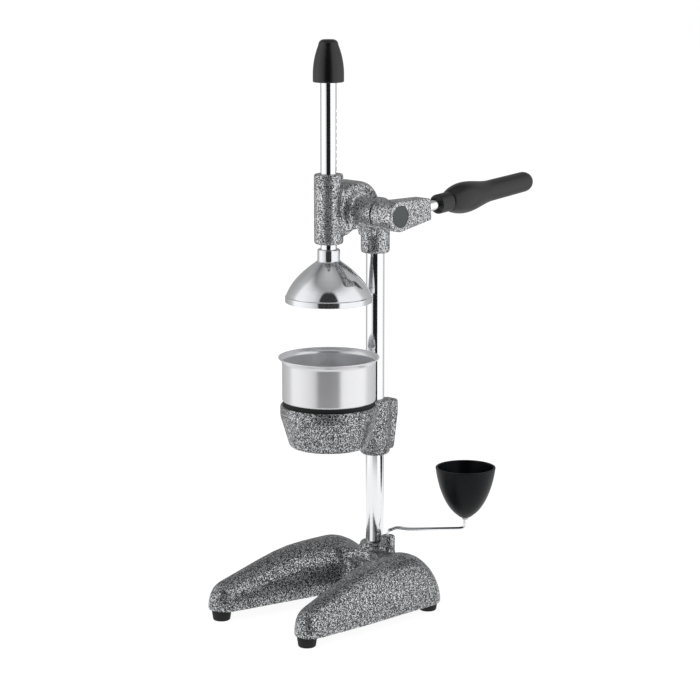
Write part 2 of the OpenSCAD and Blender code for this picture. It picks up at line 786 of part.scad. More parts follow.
// Side view of the arm: a hub circle, two straight flanks and an end with rounded corners
module arm_outline() {
    corner = [arm_len - arm_corner, arm_end_half - arm_corner];
    flank_r = lever_hub_r - 0.15;
    lean = atan2(corner[1], corner[0]) + acos((flank_r - arm_corner) / norm(corner));
    upper = concat([flank_r * [cos(lean), sin(lean)]],
        [for (i = [0 : 4]) corner + arm_corner * [cos(lean * (1 - i / 4)), sin(lean * (1 - i / 4))]]);
    circle(r = lever_hub_r);
    polygon(concat([[0, 0]], upper, [for (i = [5 : -1 : 0]) [upper[i][0], -upper[i][1]]]));
}

module lever_arm() {
    color([0.42, 0.43, 0.44]) at_lever() difference() {
        union() {
            bar_x(lever_hub_r - 0.3, hub_start_x, arm_x + 3);
            along_x(arm_x, lever_face_x) arm_outline();
        }
        bar_x(shaft_r + fit_gap, hub_start_x - 1, lever_face_x);
        bar_x(disc_r + fit_gap, lever_face_x - disc_t, lever_face_x + 1);
        translate([rod_x, 0, 0]) bar_y(rod_r + fit_gap, arm_len - rod_in_arm, arm_len + 1);
        translate([rod_x, 0, -lever_hub_r - 1]) cylinder(r = hub_pin_r + fit_gap, h = lever_hub_r + 13.2);
    }
}

module hub_pin() {
    color([0.6, 0.6, 0.62]) at_lever() translate([rod_x, 0, -lever_hub_r + 0.8])
        cylinder(r = hub_pin_r, h = lever_hub_r + 11.2);
}

module hub_disc() {
    color([0.2, 0.21, 0.22]) at_lever()
        bar_x(disc_r, lever_face_x - disc_t, lever_face_x + 0.1);
}

module lever_rod() {
    color([0.8, 0.81, 0.83]) at_lever() translate([rod_x, 0, 0])
        bar_y(rod_r, arm_len - rod_in_arm, rod_end);
}

// Radius of the grip at a share of its length beyond the collar
function grip_r(t) =
    t < 0.2 ? grip_collar_r + (grip_swell_r - grip_collar_r) * pow(sin(90 * t / 0.2), 0.75)
    : t < 0.56 ? grip_tail_r + (grip_swell_r - grip_tail_r) * (1 + cos(180 * (t - 0.2) / 0.36)) / 2
    : grip_tail_r - 0.5 * (t - 0.56) / 0.44;

module grip() {
    body = grip_len - grip_collar_len;
    nose = 14;
    color([0.05, 0.05, 0.05]) at_lever() translate([rod_x, grip_start, 0]) rotate([-90, 0, 0])
        difference() {
            rotate_extrude() polygon(concat(
                [[0, 0], [grip_collar_r - 3, 0], [grip_collar_r - 1, 0.8], [grip_collar_r, 3]],
                [for (i = [0 : 22])
                    let (s = (body - nose) * (i < 8 ? i * i / 64 * 0.2 : 0.2 + 0.8 * (i - 8) / 14))
                    [grip_r(s / (body - nose)), grip_collar_len + s]],
                [for (i = [1 : 6])
                    [(grip_tail_r - 0.5) * cos(15 * i), grip_len - nose + nose * sin(15 * i)]]));
            translate([0, 0, -1]) cylinder(r = rod_r + fit_gap, h = rod_end - grip_start + 1.3);
        }
}

// Bowl holder

module bowl_holder() {
    low = holder_low_z;
    top = holder_top_z;
    seat = ring_low_z;
    inner = ring_r - 5.5;
    boss_low = holder_boss_low_z;
    boss_top = holder_boss_top_z;
    rib_top = boss_top - 3;
    color([0.42, 0.43, 0.44]) difference() {
        union() {
            rotate_extrude() polygon([[0, low], [holder_low_r - 3, low], [holder_low_r, low + 2],
                [holder_r - 1.8, low + holder_h * 0.62], [holder_r - 0.4, low + holder_h * 0.7],
                [holder_r, low + holder_h * 0.78], [holder_r, top - 2], [holder_r - 0.6, top - 0.6],
                [holder_r - 2, top], [0, top]]);
            at_post() round_bar(holder_boss_r, boss_low, boss_top, 4, 1.5);
            along_x(-holder_boss_r + 3, holder_boss_r - 3)
                polygon([[post_reach, boss_low + 2], [post_reach - holder_boss_r + 3, boss_low + 5],
                    [holder_low_r - 10, low + 1], [holder_low_r - 10, boss_top - 1.5],
                    [post_reach, boss_top - 1.5]]);
            at_post() along_x(-holder_rib_half, holder_rib_half)
                polygon([[0, boss_low + 2], [holder_rib_reach - 8, boss_low + 4],
                    [holder_rib_reach - 6.5, boss_low + 5.5], [holder_rib_reach, rib_top - 18],
                    [holder_rib_reach, rib_top - 2], [holder_rib_reach - 2, rib_top], [0, rib_top]]);
        }
        rotate_extrude() polygon([[0, low + holder_wall], [holder_low_r - holder_wall, low + holder_wall],
            [inner, low + holder_h * 0.6], [inner, seat], [ring_r + 0.3, seat], [ring_r + 0.3, top],
            [cup_r + 1, top], [cup_r + 1, top + 40], [0, top + 40]]);
        translate([0, 0, low - 1]) cylinder(r = spout_r + 5, h = holder_wall + 2);
        at_post(boss_low - 1) cylinder(r = post_r + fit_gap, h = boss_top - boss_low + 2);
        for (z = holder_screw_zs) at_post(z) bar_y(screw_r + fit_gap, 0, 40);
    }
}

module holder_screw(z) {
    color([0.25, 0.25, 0.26]) at_post(z) set_screw(post_r + 0.1, holder_rib_reach - 3, screw_r);
}

module rubber_ring() {
    color([0.04, 0.04, 0.04]) rotate_extrude()
        polygon([[ring_r - 5, ring_low_z], [ring_r - 0.6, ring_low_z], [ring_r, ring_low_z + 0.8],
            [ring_r, shoulder_z - 0.8], [ring_r - 0.6, shoulder_z], [ring_r - 5, shoulder_z]]);
}

// Cup and cone

module cup() {
    w = cup_wall;
    rim = cup_rim_z;
    sh = shoulder_z;
    b = basin_z;
    spout = 10;
    color([0.8, 0.81, 0.82]) rotate_extrude() polygon([
        [spout_r - w, b - spout], [spout_r, b - spout], [spout_r, b], [basin_r - 3, b + 1.5],
        [basin_r - 0.8, b + 2.4], [basin_r, b + 4.5], [basin_r, sh], [cup_r - 2, sh],
        [cup_r - 0.5, sh + 0.6], [cup_r, sh + 2.2], [cup_r, rim - 5], [cup_r + 0.8, rim - 3.2],
        [cup_r + cup_lip - 0.6, rim - 1], [cup_r + cup_lip, rim - 0.5],
        [cup_r + cup_lip - 0.3, rim], [cup_r + cup_lip - 1.4, rim], [cup_r - 0.2, rim - 2.2],
        [cup_r - w, rim - 4.4], [cup_r - w, sh + 2.4], [cup_r - w - 0.6, sh + w],
        [basin_r - w, sh + w], [basin_r - w, b + 5], [basin_r - w - 1.4, b + 1.5 + w],
        [basin_r - 3.4, b + 1.5 + w], [spout_r, b + w], [spout_r - w, b + w - 0.6]]);
}

// Outline of the cone, fuller than a straight flank and round at its tip, less a depth
function cone_point(t, depth) =
    [(cone_r - depth) * pow(cos(90 * t), 0.85), (cone_h - depth / 2) * pow(sin(90 * t), 1.15)];

module cone_strainer() {
    steps = 8;
    ridge = [for (i = [0 : steps]) cone_point(i / steps, 0)];
    core = [for (i = [0 : steps]) cone_point(i / steps, rib_depth)];
    color([0.8, 0.81, 0.82]) translate([0, 0, plate_z]) difference() {
        union() {
            cylinder(r = plate_r, h = plate_t);
            translate([0, 0, plate_t]) rotate_extrude() polygon(concat([[0, 0]], core));
            for (i = [0 : cone_ribs / 2 - 1])
                rotate([90, 0, 360 * i / cone_ribs]) translate([0, plate_t, 0])
                    linear_extrude(rib_w, center = true)
                        polygon(concat(ridge, [for (j = [steps - 1 : -1 : 0]) [-ridge[j][0], ridge[j][1]]]));
        }
        for (i = [0 : plate_slots - 1])
            rotate([0, 0, 360 * (i + 0.5) / plate_slots])
                translate([cone_r + 2, -1, -1]) cube([plate_r - cone_r - 5, 2, plate_t + 2]);
    }
}

// Drip arm

// One ring of a wire in the plane of the arm, square to its path at point i
function wire_ring(path, i, r, sides = 12) =
    let (a = path[max(0, i - 1)],
        b = path[min(len(path) - 1, i + 1)],
        lean = atan2(b[1] - a[1], b[0] - a[0]))
    [for (k = [0 : sides - 1])
        let (u = r * cos(360 * k / sides), v = -r * sin(360 * k / sides))
        [path[i][0] - u * sin(lean), v, path[i][1] + u * cos(lean)]];

module drip_wire() {
    z = arm_z;
    x = arm_reach;
    boss = pivot_boss_z;
    path = [[0, boss + 1.4], [0.6, boss + 3.4], [1.9, boss + 5.2], [3.8, boss + 6.5],
        [9, z + 1.7], [11, z + 2.2], [13.5, z + 2], [24, z + 0.1], [26.5, z], [x - 7, z],
        [x - 4, z + 0.6], [x - 1.5, z + 2.5], [x - 0.4, z + 4.6], [x, z + 7], [x, z + 8.5]];
    color([0.6, 0.6, 0.62]) at_pivot() {
        translate([0, 0, boss - pivot_depth]) cylinder(r = wire_r, h = pivot_depth + 1.6, $fn = 32);
        loft([for (i = [0 : len(path) - 1]) wire_ring(path, i, wire_r * 0.98)]);
        translate([x, 0, z + 8]) cylinder(r = wire_r, h = wire_top_z - z - 8, $fn = 32);
    }
}

// Half outline of the drip cup at share t of its height, shrunk by a wall
function drip_point(t, wall) =
    [(drip_r - wall) * (pow(t, 0.42) + pow(sin(90 * pow(t, 0.72)), 0.82)) / 2,
        wall + (drip_h - wall) * t];

module drip_cup() {
    foot_r = 6;
    outer = [for (i = [1 : 14]) drip_point(i / 14, 0)];
    inner = [for (i = [13 : -1 : 1]) drip_point(i / 14, drip_wall)];
    color([0.05, 0.05, 0.05]) at_pivot() translate([arm_reach, 0, drip_low_z]) difference() {
        rotate_extrude() polygon(concat([[0, 0], [foot_r, 0]], outer,
            [[drip_r - drip_wall, drip_h]], inner, [[foot_r - 1, drip_wall], [0, drip_wall]]));
        translate([0, 0, -1]) cylinder(r = wire_r + fit_gap, h = 10);
    }
}

module drip_nut(z) {
    color([0.7, 0.7, 0.72]) at_pivot() translate([arm_reach, 0, z]) difference() {
        cylinder(r = nut_r, h = nut_h, $fn = 6);
        translate([0, 0, -1]) cylinder(r = wire_r + fit_gap, h = nut_h + 2);
    }
}

base_casting();
foot([foot_x, front_foot_y]);  // foot_front_right
foot([-foot_x, front_foot_y]);  // foot_front_left
foot([foot_x, rear_foot_y]);  // foot_rear_right
foot([-foot_x, rear_foot_y]);  // foot_rear_left
foot_screw([foot_x, front_foot_y]);  // foot_screw_front_right
foot_screw([-foot_x, front_foot_y]);  // foot_screw_front_left
foot_screw([foot_x, rear_foot_y]);  // foot_screw_rear_right
foot_screw([-foot_x, rear_foot_y]);  // foot_screw_rear_left
post();
post_bolt();
post_washer();
head_casting();
head_screw(head_screw_zs[1]);  // head_screw_upper
head_screw(head_screw_zs[0]);  // head_screw_lower
bush_lever_side();
bush_far_side();
bowl_holder();
holder_screw(holder_screw_zs[0]);  // holder_screw_upper
holder_screw(holder_screw_zs[1]);  // holder_screw_lower
rubber_ring();
rack();
rack_cap();
bell();
bell_washer();
bell_screw();
sector_gear();
shaft();
gear_key();
shaft_collar();
collar_screw();
lever_arm();
hub_pin();
hub_disc();
lever_rod();
grip();
cup();
cone_strainer();
drip_wire();
drip_cup();
drip_nut(drip_low_z - nut_h);  // drip_nut_lower
drip_nut(drip_low_z + drip_wall);  // drip_nut_upper
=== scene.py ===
"""Looks of a lever citrus press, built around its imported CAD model.

Every length below is in millimetres unless its name or unit says otherwise, and meshes are
written in metres in the frame of the CAD model.
"""

import math

import bmesh
import bpy
import numpy as np
from mathutils import Matrix


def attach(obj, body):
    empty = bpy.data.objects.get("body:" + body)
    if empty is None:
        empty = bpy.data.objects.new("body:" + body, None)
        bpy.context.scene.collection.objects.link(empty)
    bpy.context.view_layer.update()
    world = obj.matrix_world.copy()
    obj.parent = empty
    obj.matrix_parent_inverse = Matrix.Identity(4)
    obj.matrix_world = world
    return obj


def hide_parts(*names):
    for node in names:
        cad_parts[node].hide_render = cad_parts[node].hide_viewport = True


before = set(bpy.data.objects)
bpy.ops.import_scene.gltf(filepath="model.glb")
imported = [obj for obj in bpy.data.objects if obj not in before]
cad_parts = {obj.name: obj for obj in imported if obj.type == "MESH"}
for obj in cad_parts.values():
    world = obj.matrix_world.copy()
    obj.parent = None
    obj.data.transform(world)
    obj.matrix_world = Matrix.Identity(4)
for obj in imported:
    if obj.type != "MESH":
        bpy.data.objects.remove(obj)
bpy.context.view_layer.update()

MM = 0.001

# Places that the pieces share with the CAD model: the shaft's middle, the lever's tilt in degrees,
# the rod's distance from the rack's axis, the post's, the drip arm's pivot, turn and reach
SHAFT = (0.0, 34.25, 481.4)
LEVER_TILT = 4.75
ROD_X = 70.7
POST_Y = 77.0
PIVOT = (22.0, 77.0)
ARM_TURN = 48.5
ARM_REACH = 93.0

# Directions, and the radii of the bores for the rack, the post, the screws and the arm's wire
X, Y, Z = (1, 0, 0), (0, 1, 0), (0, 0, 1)
RACK_BORE, POST_BORE, SCREW_BORE, WIRE_BORE = 9.55, 11.05, 4.05, 2.05

bl_info = {
    "name": "Lever citrus press",
    "version": (1, 0, 0),
    "blender": (4, 5, 0),
    "location": "View3D > Sidebar > Citrus press",
    "description": "Builds the visible pieces and finishes of a lever citrus press",
    "category": "Object",
}


def linear(hex_colour):
    """sRGB hex digits to linear colour: c / 12.92 up to 0.04045, and ((c + 0.055) / 1.055) ^ 2.4
    above."""
    c = np.array([int(hex_colour[i:i + 2], 16) for i in (1, 3, 5)]) / 255
    rgb = np.where(c <= 0.04045, c / 12.92, ((c + 0.055) / 1.055) ** 2.4)
    return tuple(float(v) for v in rgb)


# ---------------------------------------------------------------- meshes

def write_mesh(name, points, faces):
    """A mesh from an array of points in millimetres and a list of faces, closed and facing out."""
    mesh = bpy.data.meshes.new(name)
    mesh.from_pydata((np.asarray(points, float) * MM).tolist(), [], faces)
    work = bmesh.new()
    work.from_mesh(mesh)
    bmesh.ops.remove_doubles(work, verts=work.verts, dist=1e-7)
    bmesh.ops.dissolve_degenerate(work, edges=work.edges, dist=1e-8)
    bmesh.ops.recalc_face_normals(work, faces=work.faces)
    work.to_mesh(mesh)
    work.free()
    return mesh


def read_points(mesh, attribute="co"):
    """A mesh's points, or their normals, as an array with a row for each."""
    values = np.zeros(len(mesh.vertices) * 3)
    mesh.vertices.foreach_get(attribute, values)
    return values.reshape(-1, 3)


def write_points(mesh, points):
    """Moves a mesh's points to an array's rows."""
    mesh.vertices.foreach_set("co", points.ravel())
    mesh.update()


def add_object(name, data):
    """A new object in the scene for a mesh, a lamp or a camera."""
    item = bpy.data.objects.new(name, data)
    bpy.context.scene.collection.objects.link(item)
    return item


def add_piece(name, mesh, body, material, node, crease=35):
    """An object for a mesh: smooth up to an edge angle, in a material given by its name, riding
    on its body in place of a CAD node."""
    piece = add_object(name, mesh)
    mesh.shade_smooth()
    mesh.set_sharp_from_angle(angle=math.radians(crease))
    mesh.materials.clear()
    mesh.materials.append(make_materials()[material])
    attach(piece, body)
    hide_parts(node)
    return piece


def rounded(points, radius, steps=5, closed=False):
    """An outline whose corners are parabolas: a corner c with neighbours a and b becomes
    (1-t)^2 p + 2t(1-t) c + t^2 q, where p and q lie on its two sides at most radius away."""
    c = np.asarray(points, float)
    reach = np.broadcast_to(np.asarray(radius, float), (len(c),)).copy()
    if not closed:
        reach[[0, -1]] = 0
    a, b = np.roll(c, 1, 0), np.roll(c, -1, 0)
    to_a, to_b = a - c, b - c
    len_a = np.maximum(np.linalg.norm(to_a, axis=1), 1e-9)
    len_b = np.maximum(np.linalg.norm(to_b, axis=1), 1e-9)
    p = c + to_a * (np.minimum(reach, 0.49 * len_a) / len_a)[:, None]
    q = c + to_b * (np.minimum(reach, 0.49 * len_b) / len_b)[:, None]
    t = np.linspace(0, 1, steps)[None, :, None]
    arcs = (1 - t) ** 2 * p[:, None] + 2 * t * (1 - t) * c[:, None] + t ** 2 * q[:, None]
    line = arcs.reshape(-1, 2)
    step = np.linalg.norm(np.diff(line, axis=0), axis=1)
    return line[np.concatenate([[True], step > 1e-6])]


def grid_faces(rows, cols, close_rows=False, close_cols=True):
    """A list of the quads of a grid of rows by cols points, joined round in either direction."""
    r = np.arange(rows if close_rows else rows - 1)
    c = np.arange(cols if close_cols else cols - 1)
    r, c = np.meshgrid(r, c, indexing="ij")
    r1, c1 = (r + 1) % rows, (c + 1) % cols
    quads = np.stack([r * cols + c, r * cols + c1, r1 * cols + c1, r1 * cols + c], -1)
    return quads.reshape(-1, 4).tolist()


def revolve(outline, segments=96):
    """Points (r cos a, r sin a, z) for each (r, z) of an outline, a in even steps round."""
    line = np.asarray(outline, float)
    a = np.linspace(0, 2 * np.pi, segments, endpoint=False)
    r, z = line[:, :1], line[:, 1:]
    return np.stack([r * np.cos(a), r * np.sin(a), z + 0 * a], -1).reshape(-1, 3)


def turn_x(degrees):
    """Rotation about X that carries +Y towards +Z."""
    c, s = math.cos(math.radians(degrees)), math.sin(math.radians(degrees))
    return np.array([[1, 0, 0], [0, c, -s], [0, s, c]])


def turn_z(degrees):
    """Rotation about Z that carries +X towards +Y."""
    c, s = math.cos(math.radians(degrees)), math.sin(math.radians(degrees))
    return np.array([[c, -s, 0], [s, c, 0], [0, 0, 1]])


ALONG_X = np.array([[0, 0, 1], [1, 0, 0], [0, 1, 0]])
ALONG_Y = np.array([[1, 0, 0], [0, 0, 1], [0, -1, 0]])


def placed(points, turn=None, at=(0, 0, 0)):
    """Points turned by a matrix and then moved."""
    turned = points if turn is None else points @ np.asarray(turn, float).T
    return turned + np.asarray(at, float)


def turned_piece(name, outline, body, material, node, turn=None, at=(0, 0, 0),
                 closed=False, segments=96, crease=35):
    """A piece turned on a lathe: an outline revolved about its own axis and put in its place."""
    points = placed(revolve(outline, segments), turn, at)
    mesh = write_mesh(name, points, grid_faces(len(outline), segments, close_rows=closed))
    add_piece(name, mesh, body, material, node, crease)


def merged_copy(node, name):
    """A copy of a CAD node's mesh with its doubles merged and its flat faces joined."""
    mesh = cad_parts[node].data.copy()
    mesh.name = name
    work = bmesh.new()
    work.from_mesh(mesh)
    bmesh.ops.remove_doubles(work, verts=work.verts, dist=2e-6)
    bmesh.ops.dissolve_limit(work, angle_limit=math.radians(0.5), verts=work.verts,
                             edges=work.edges)
    work.to_mesh(mesh)
    work.free()
    return mesh


def fine_piece(node, body, material, edge=0.25):
    """A machined piece: a copy of its CAD node with every sharp edge broken by a small bevel."""
    name = node + "_finish"
    piece = add_piece(name, merged_copy(node, name), body, material, node)
    bevel = piece.modifiers.new("broken_edges", "BEVEL")
    bevel.width = edge * MM
    bevel.segments = 2
    bevel.limit_method = "ANGLE"
    bevel.angle_limit = math.radians(40)


def from_axis(points, bore):
    """Each point's distance along a bore's axis, and its offset square to that axis."""
    origin, direction = (np.asarray(v, float) for v in bore[:2])
    direction = direction / np.linalg.norm(direction)
    offset = points - origin
    along = offset @ direction
    return along, offset - along[:, None] * direction


def on_bore(points, bore, near=0.8, past=0.6):
    """Which points lie on a bore's wall: near its radius, and along its stretch or just past."""
    radius, low, high = bore[2:]
    along, out = from_axis(points, bore)
    close = np.abs(np.linalg.norm(out, axis=1) - radius) < near
    return close & (along > low - past) & (along < high + past)


def back_to_bore(points, mask, bore):
    """Moves the masked points straight out from the bore's axis to its radius."""
    out = from_axis(points[mask], bore)[1]
    reach = np.maximum(np.linalg.norm(out, axis=1), 1e-9)[:, None]
    points[mask] += out * (bore[2] / reach - 1)


def cast_skin(node, name, voxel, soften, fillet, bores=(), cutter=None):
    """The skin of a casting: a CAD node remeshed in small cubes, whose points then move towards
    the mean of their neighbours. All points move for the first rounds, which rounds the outer
    edges. After that only points in hollows move, which grows fillets where forms meet. The
    walls of bores, and round outsides given as bores, keep their radius throughout. A bore is
    its origin, direction and radius, and where it begins and ends along its direction."""
    source = add_object(name + "_source", merged_copy(node, name + "_source"))
    if cutter:
        cut = source.modifiers.new("cut", "BOOLEAN")
        cut.object = cutter
        cut.operation = "DIFFERENCE"
    remesh = source.modifiers.new("cubes", "REMESH")
    remesh.mode = "VOXEL"
    remesh.voxel_size = voxel * MM
    remesh.use_smooth_shade = True
    graph = bpy.context.evaluated_depsgraph_get()
    mesh = bpy.data.meshes.new_from_object(source.evaluated_get(graph))
    bpy.data.objects.remove(source)
    if cutter:
        bpy.data.objects.remove(cutter)
    count = len(mesh.vertices)
    points = read_points(mesh) / MM
    normals = read_points(mesh, "normal")
    edges = np.zeros(len(mesh.edges) * 2, int)
    mesh.edges.foreach_get("vertices", edges)
    edges = edges.reshape(-1, 2)
    valence = np.maximum(np.bincount(edges.ravel(), minlength=count), 1)[:, None]
    walls = [(on_bore(points, bore), bore) for bore in bores]
    for step in range(max(soften, fillet)):
        total = np.stack([
            np.bincount(edges[:, 0], points[edges[:, 1], k], minlength=count)
            + np.bincount(edges[:, 1], points[edges[:, 0], k], minlength=count)
            for k in range(3)], 1)
        move = total / valence - points
        hollow = np.einsum("ij,ij->i", move, normals) > 0
        active = (hollow & (step < fillet)) | (step < soften)
        points += (0.5 * active)[:, None] * move
        for mask, bore in walls:
            back_to_bore(points, mask, bore)
    write_points(mesh, points * MM)
    return mesh


def add_casting(name, mesh, body, material, node):
    """A cast skin in its enamel, smooth over all but the sharpest edges."""
    add_piece(name, mesh, body, material, node, 60)


def swept(path, radius, sides):
    """A round tube along a path in the XZ plane: each ring is square to the path's local
    direction, its point at angle a is path + radius (side cos a + other sin a), and the closed
    ends are rings of no radius."""
    line = np.asarray(path, float)
    tangent = np.gradient(line, axis=0)
    tangent /= np.linalg.norm(tangent, axis=1)[:, None]
    side = np.cross(Y, tangent)
    other = np.cross(tangent, side)
    a = np.linspace(0, 2 * np.pi, sides, endpoint=False)
    ring = (np.cos(a)[None, :, None] * side[:, None] + np.sin(a)[None, :, None] * other[:, None])
    body = line[:, None] + radius * ring
    caps = [np.repeat(line[:1], sides, 0), np.repeat(line[-1:], sides, 0)]
    return np.concatenate([caps[0], body.reshape(-1, 3), caps[1]])


def corner_cut(path, rounds=3):
    """A smooth path: each round puts points a quarter and three quarters along every stretch."""
    line = np.asarray(path, float)
    for _ in range(rounds):
        low = 0.75 * line[:-1] + 0.25 * line[1:]
        high = 0.25 * line[:-1] + 0.75 * line[1:]
        pairs = np.stack([low, high], 1).reshape(-1, line.shape[1])
        line = np.concatenate([line[:1], pairs, line[-1:]])
    return line


# ---------------------------------------------------------------- materials

def set_inputs(node, inputs):
    """Links the inputs that are given as sockets and sets the others on the node itself."""
    for key, value in inputs.items():
        if isinstance(value, bpy.types.NodeSocket):
            node.id_data.links.new(value, node.inputs[key])
        else:
            node.inputs[key].default_value = value


def add(tree, kind, inputs=None, **settings):
    """Adds one node with its settings and inputs."""
    node = tree.nodes.new(kind)
    for key, value in settings.items():
        setattr(node, key, value)
    set_inputs(node, inputs or {})
    return node


def empty_tree(owner):
    """The node tree of a material or a world, emptied."""
    owner.use_nodes = True
    owner.node_tree.nodes.clear()
    return owner.node_tree


def new_material(name):
    """A material's tree with a shader and its output, the shader, and the object's coordinates."""
    tree = empty_tree(bpy.data.materials.new(name))
    shader = add(tree, "ShaderNodeBsdfPrincipled")
    add(tree, "ShaderNodeOutputMaterial", {"Surface": shader.outputs["BSDF"]})
    return tree, shader, add(tree, "ShaderNodeTexCoord").outputs["Object"]


def rgba(value):
    """A grey or a linear colour, opaque."""
    return (*([value] * 3 if isinstance(value, (int, float)) else value), 1)


def shaded(colour, share):
    """A linear colour darkened to a share of itself."""
    return tuple(share * c for c in colour)


def ramp(tree, factor, stops):
    """A colour ramp: stops are (place, grey or linear colour)."""
    node = add(tree, "ShaderNodeValToRGB", {"Fac": factor})
    band = node.color_ramp
    while len(band.elements) < len(stops):
        band.elements.new(0.5)
    for element, (place, value) in zip(band.elements, stops):
        element.position = place
        element.color = rgba(value)
    return node.outputs["Color"]


def mixed(tree, share, low, high, blend="MIX"):
    """The colour low where a share is 0, and high where it is 1."""
    return add(tree, "ShaderNodeMix", {"Factor": share, 6: low, 7: high}, data_type="RGBA",
               blend_type=blend).outputs[2]


def maths(tree, operation, *values):
    """One maths node on sockets or numbers."""
    return add(tree, "ShaderNodeMath", dict(enumerate(values)), operation=operation).outputs[0]


def vector_maths(tree, operation, *values):
    """One maths node on vectors that gives a number."""
    return add(tree, "ShaderNodeVectorMath", dict(enumerate(values)),
               operation=operation).outputs["Value"]


def noise(tree, place, scale, detail, **inputs):
    """A noise pattern of scale waves to the metre, from 0 to 1."""
    return add(tree, "ShaderNodeTexNoise", {"Vector": place, "Scale": scale, "Detail": detail,
                                            **inputs}).outputs["Fac"]


def bump(tree, height, distance, strength):
    """A normal with relief: a height of 0 to 1 rises by distance in millimetres."""
    return add(tree, "ShaderNodeBump", {"Height": height, "Distance": distance * MM,
                                        "Strength": strength}).outputs["Normal"]


def silver_vein_enamel(name, colours, sizes, level):
    """Silver vein stoving enamel on sand-cast iron: as it dries, flake gathers in short pale
    worms that stand a little proud of a dark, glossy ground. Noise above the level is worm."""
    tree, shader, place = new_material(name)
    scale = 1 / sizes.vein_spacing
    veins = noise(tree, place, scale, 0.6, Roughness=0.4, Distortion=1.1)
    coarse = noise(tree, place, scale * 0.3, 1.0)
    both = add(tree, "ShaderNodeMix", {"Factor": 0.12, 2: veins, 3: coarse}).outputs[0]
    worms = ramp(tree, both, [(level - 0.025, 0.0), (level + 0.025, 1.0)])
    set_inputs(shader, {
        "Base Color": mixed(tree, worms, rgba(colours.enamel_ground), rgba(colours.enamel_silver)),
        "Roughness": ramp(tree, worms, [(0.0, 0.4), (1.0, 0.27)]),
        "Metallic": ramp(tree, worms, [(0.0, 0.15), (1.0, 0.92)]),
        "IOR": 1.52, "Coat Weight": 0.2, "Coat Roughness": 0.2,
        "Normal": bump(tree, worms, 0.14, 0.6)})


def polished_metal(name, colour, roughness, spread, grain=90):
    """A polished or plated metal, whose gloss is a little uneven from handling and buffing: its
    roughness spreads over smears, grain of them to the metre."""
    tree, shader, place = new_material(name)
    smear = noise(tree, place, grain, 3.0, Roughness=0.6)
    set_inputs(shader, {
        "Base Color": ramp(tree, smear, [(0.3, shaded(colour, 0.93)), (0.7, colour)]),
        "Roughness": ramp(tree, smear, [(0.3, roughness), (0.75, roughness + spread)]),
        "Metallic": 1.0})


def spun_steel(name, colour, roughness, ring, depth, metal):
    """Stainless steel spun to shape and polished on the lathe, which leaves fine rings round its
    axis: noise of the distance along the profile, r + 0.8 z, ring millimetres from line to line
    and depth millimetres deep. A satin steel scatters a share of the light all round, which is
    the rest of metal."""
    tree, shader, place = new_material(name)
    parts = add(tree, "ShaderNodeSeparateXYZ", {"Vector": place}).outputs
    flat = add(tree, "ShaderNodeCombineXYZ", {"X": parts["X"], "Y": parts["Y"]}).outputs[0]
    out = vector_maths(tree, "LENGTH", flat)
    along = maths(tree, "MULTIPLY_ADD", parts["Z"], 0.8, out)
    line = add(tree, "ShaderNodeTexNoise", {
        "W": along, "Scale": 1 / (ring * MM), "Detail": 2.0}, noise_dimensions="1D").outputs["Fac"]
    smear = noise(tree, place, 45.0, 2.0)
    set_inputs(shader, {
        "Base Color": ramp(tree, line, [(0.25, shaded(colour, 0.95)), (0.75, colour)]),
        "Roughness": ramp(tree, smear, [(0.3, roughness), (0.7, roughness + 0.04)]),
        "Metallic": metal, "Normal": bump(tree, line, depth, 0.5)})


def moulded(name, colour, roughness, grain, depth, gloss=0.5):
    """A moulded polymer: one body colour with a faint cloud, and a fine skin from its mould whose
    relief is depth millimetres over bumps grain millimetres apart."""
    tree, shader, place = new_material(name)
    skin = noise(tree, place, 1 / (grain * MM), 2.0)
    cloud = noise(tree, place, 30.0, 2.0)
    set_inputs(shader, {
        "Base Color": ramp(tree, cloud, [(0.3, shaded(colour, 0.85)), (0.7, colour)]),
        "Roughness": ramp(tree, cloud, [(0.3, roughness), (0.7, roughness + 0.04)]),
        "IOR": 1.5, "Specular IOR Level": gloss, "Normal": bump(tree, skin, depth, 0.6)})


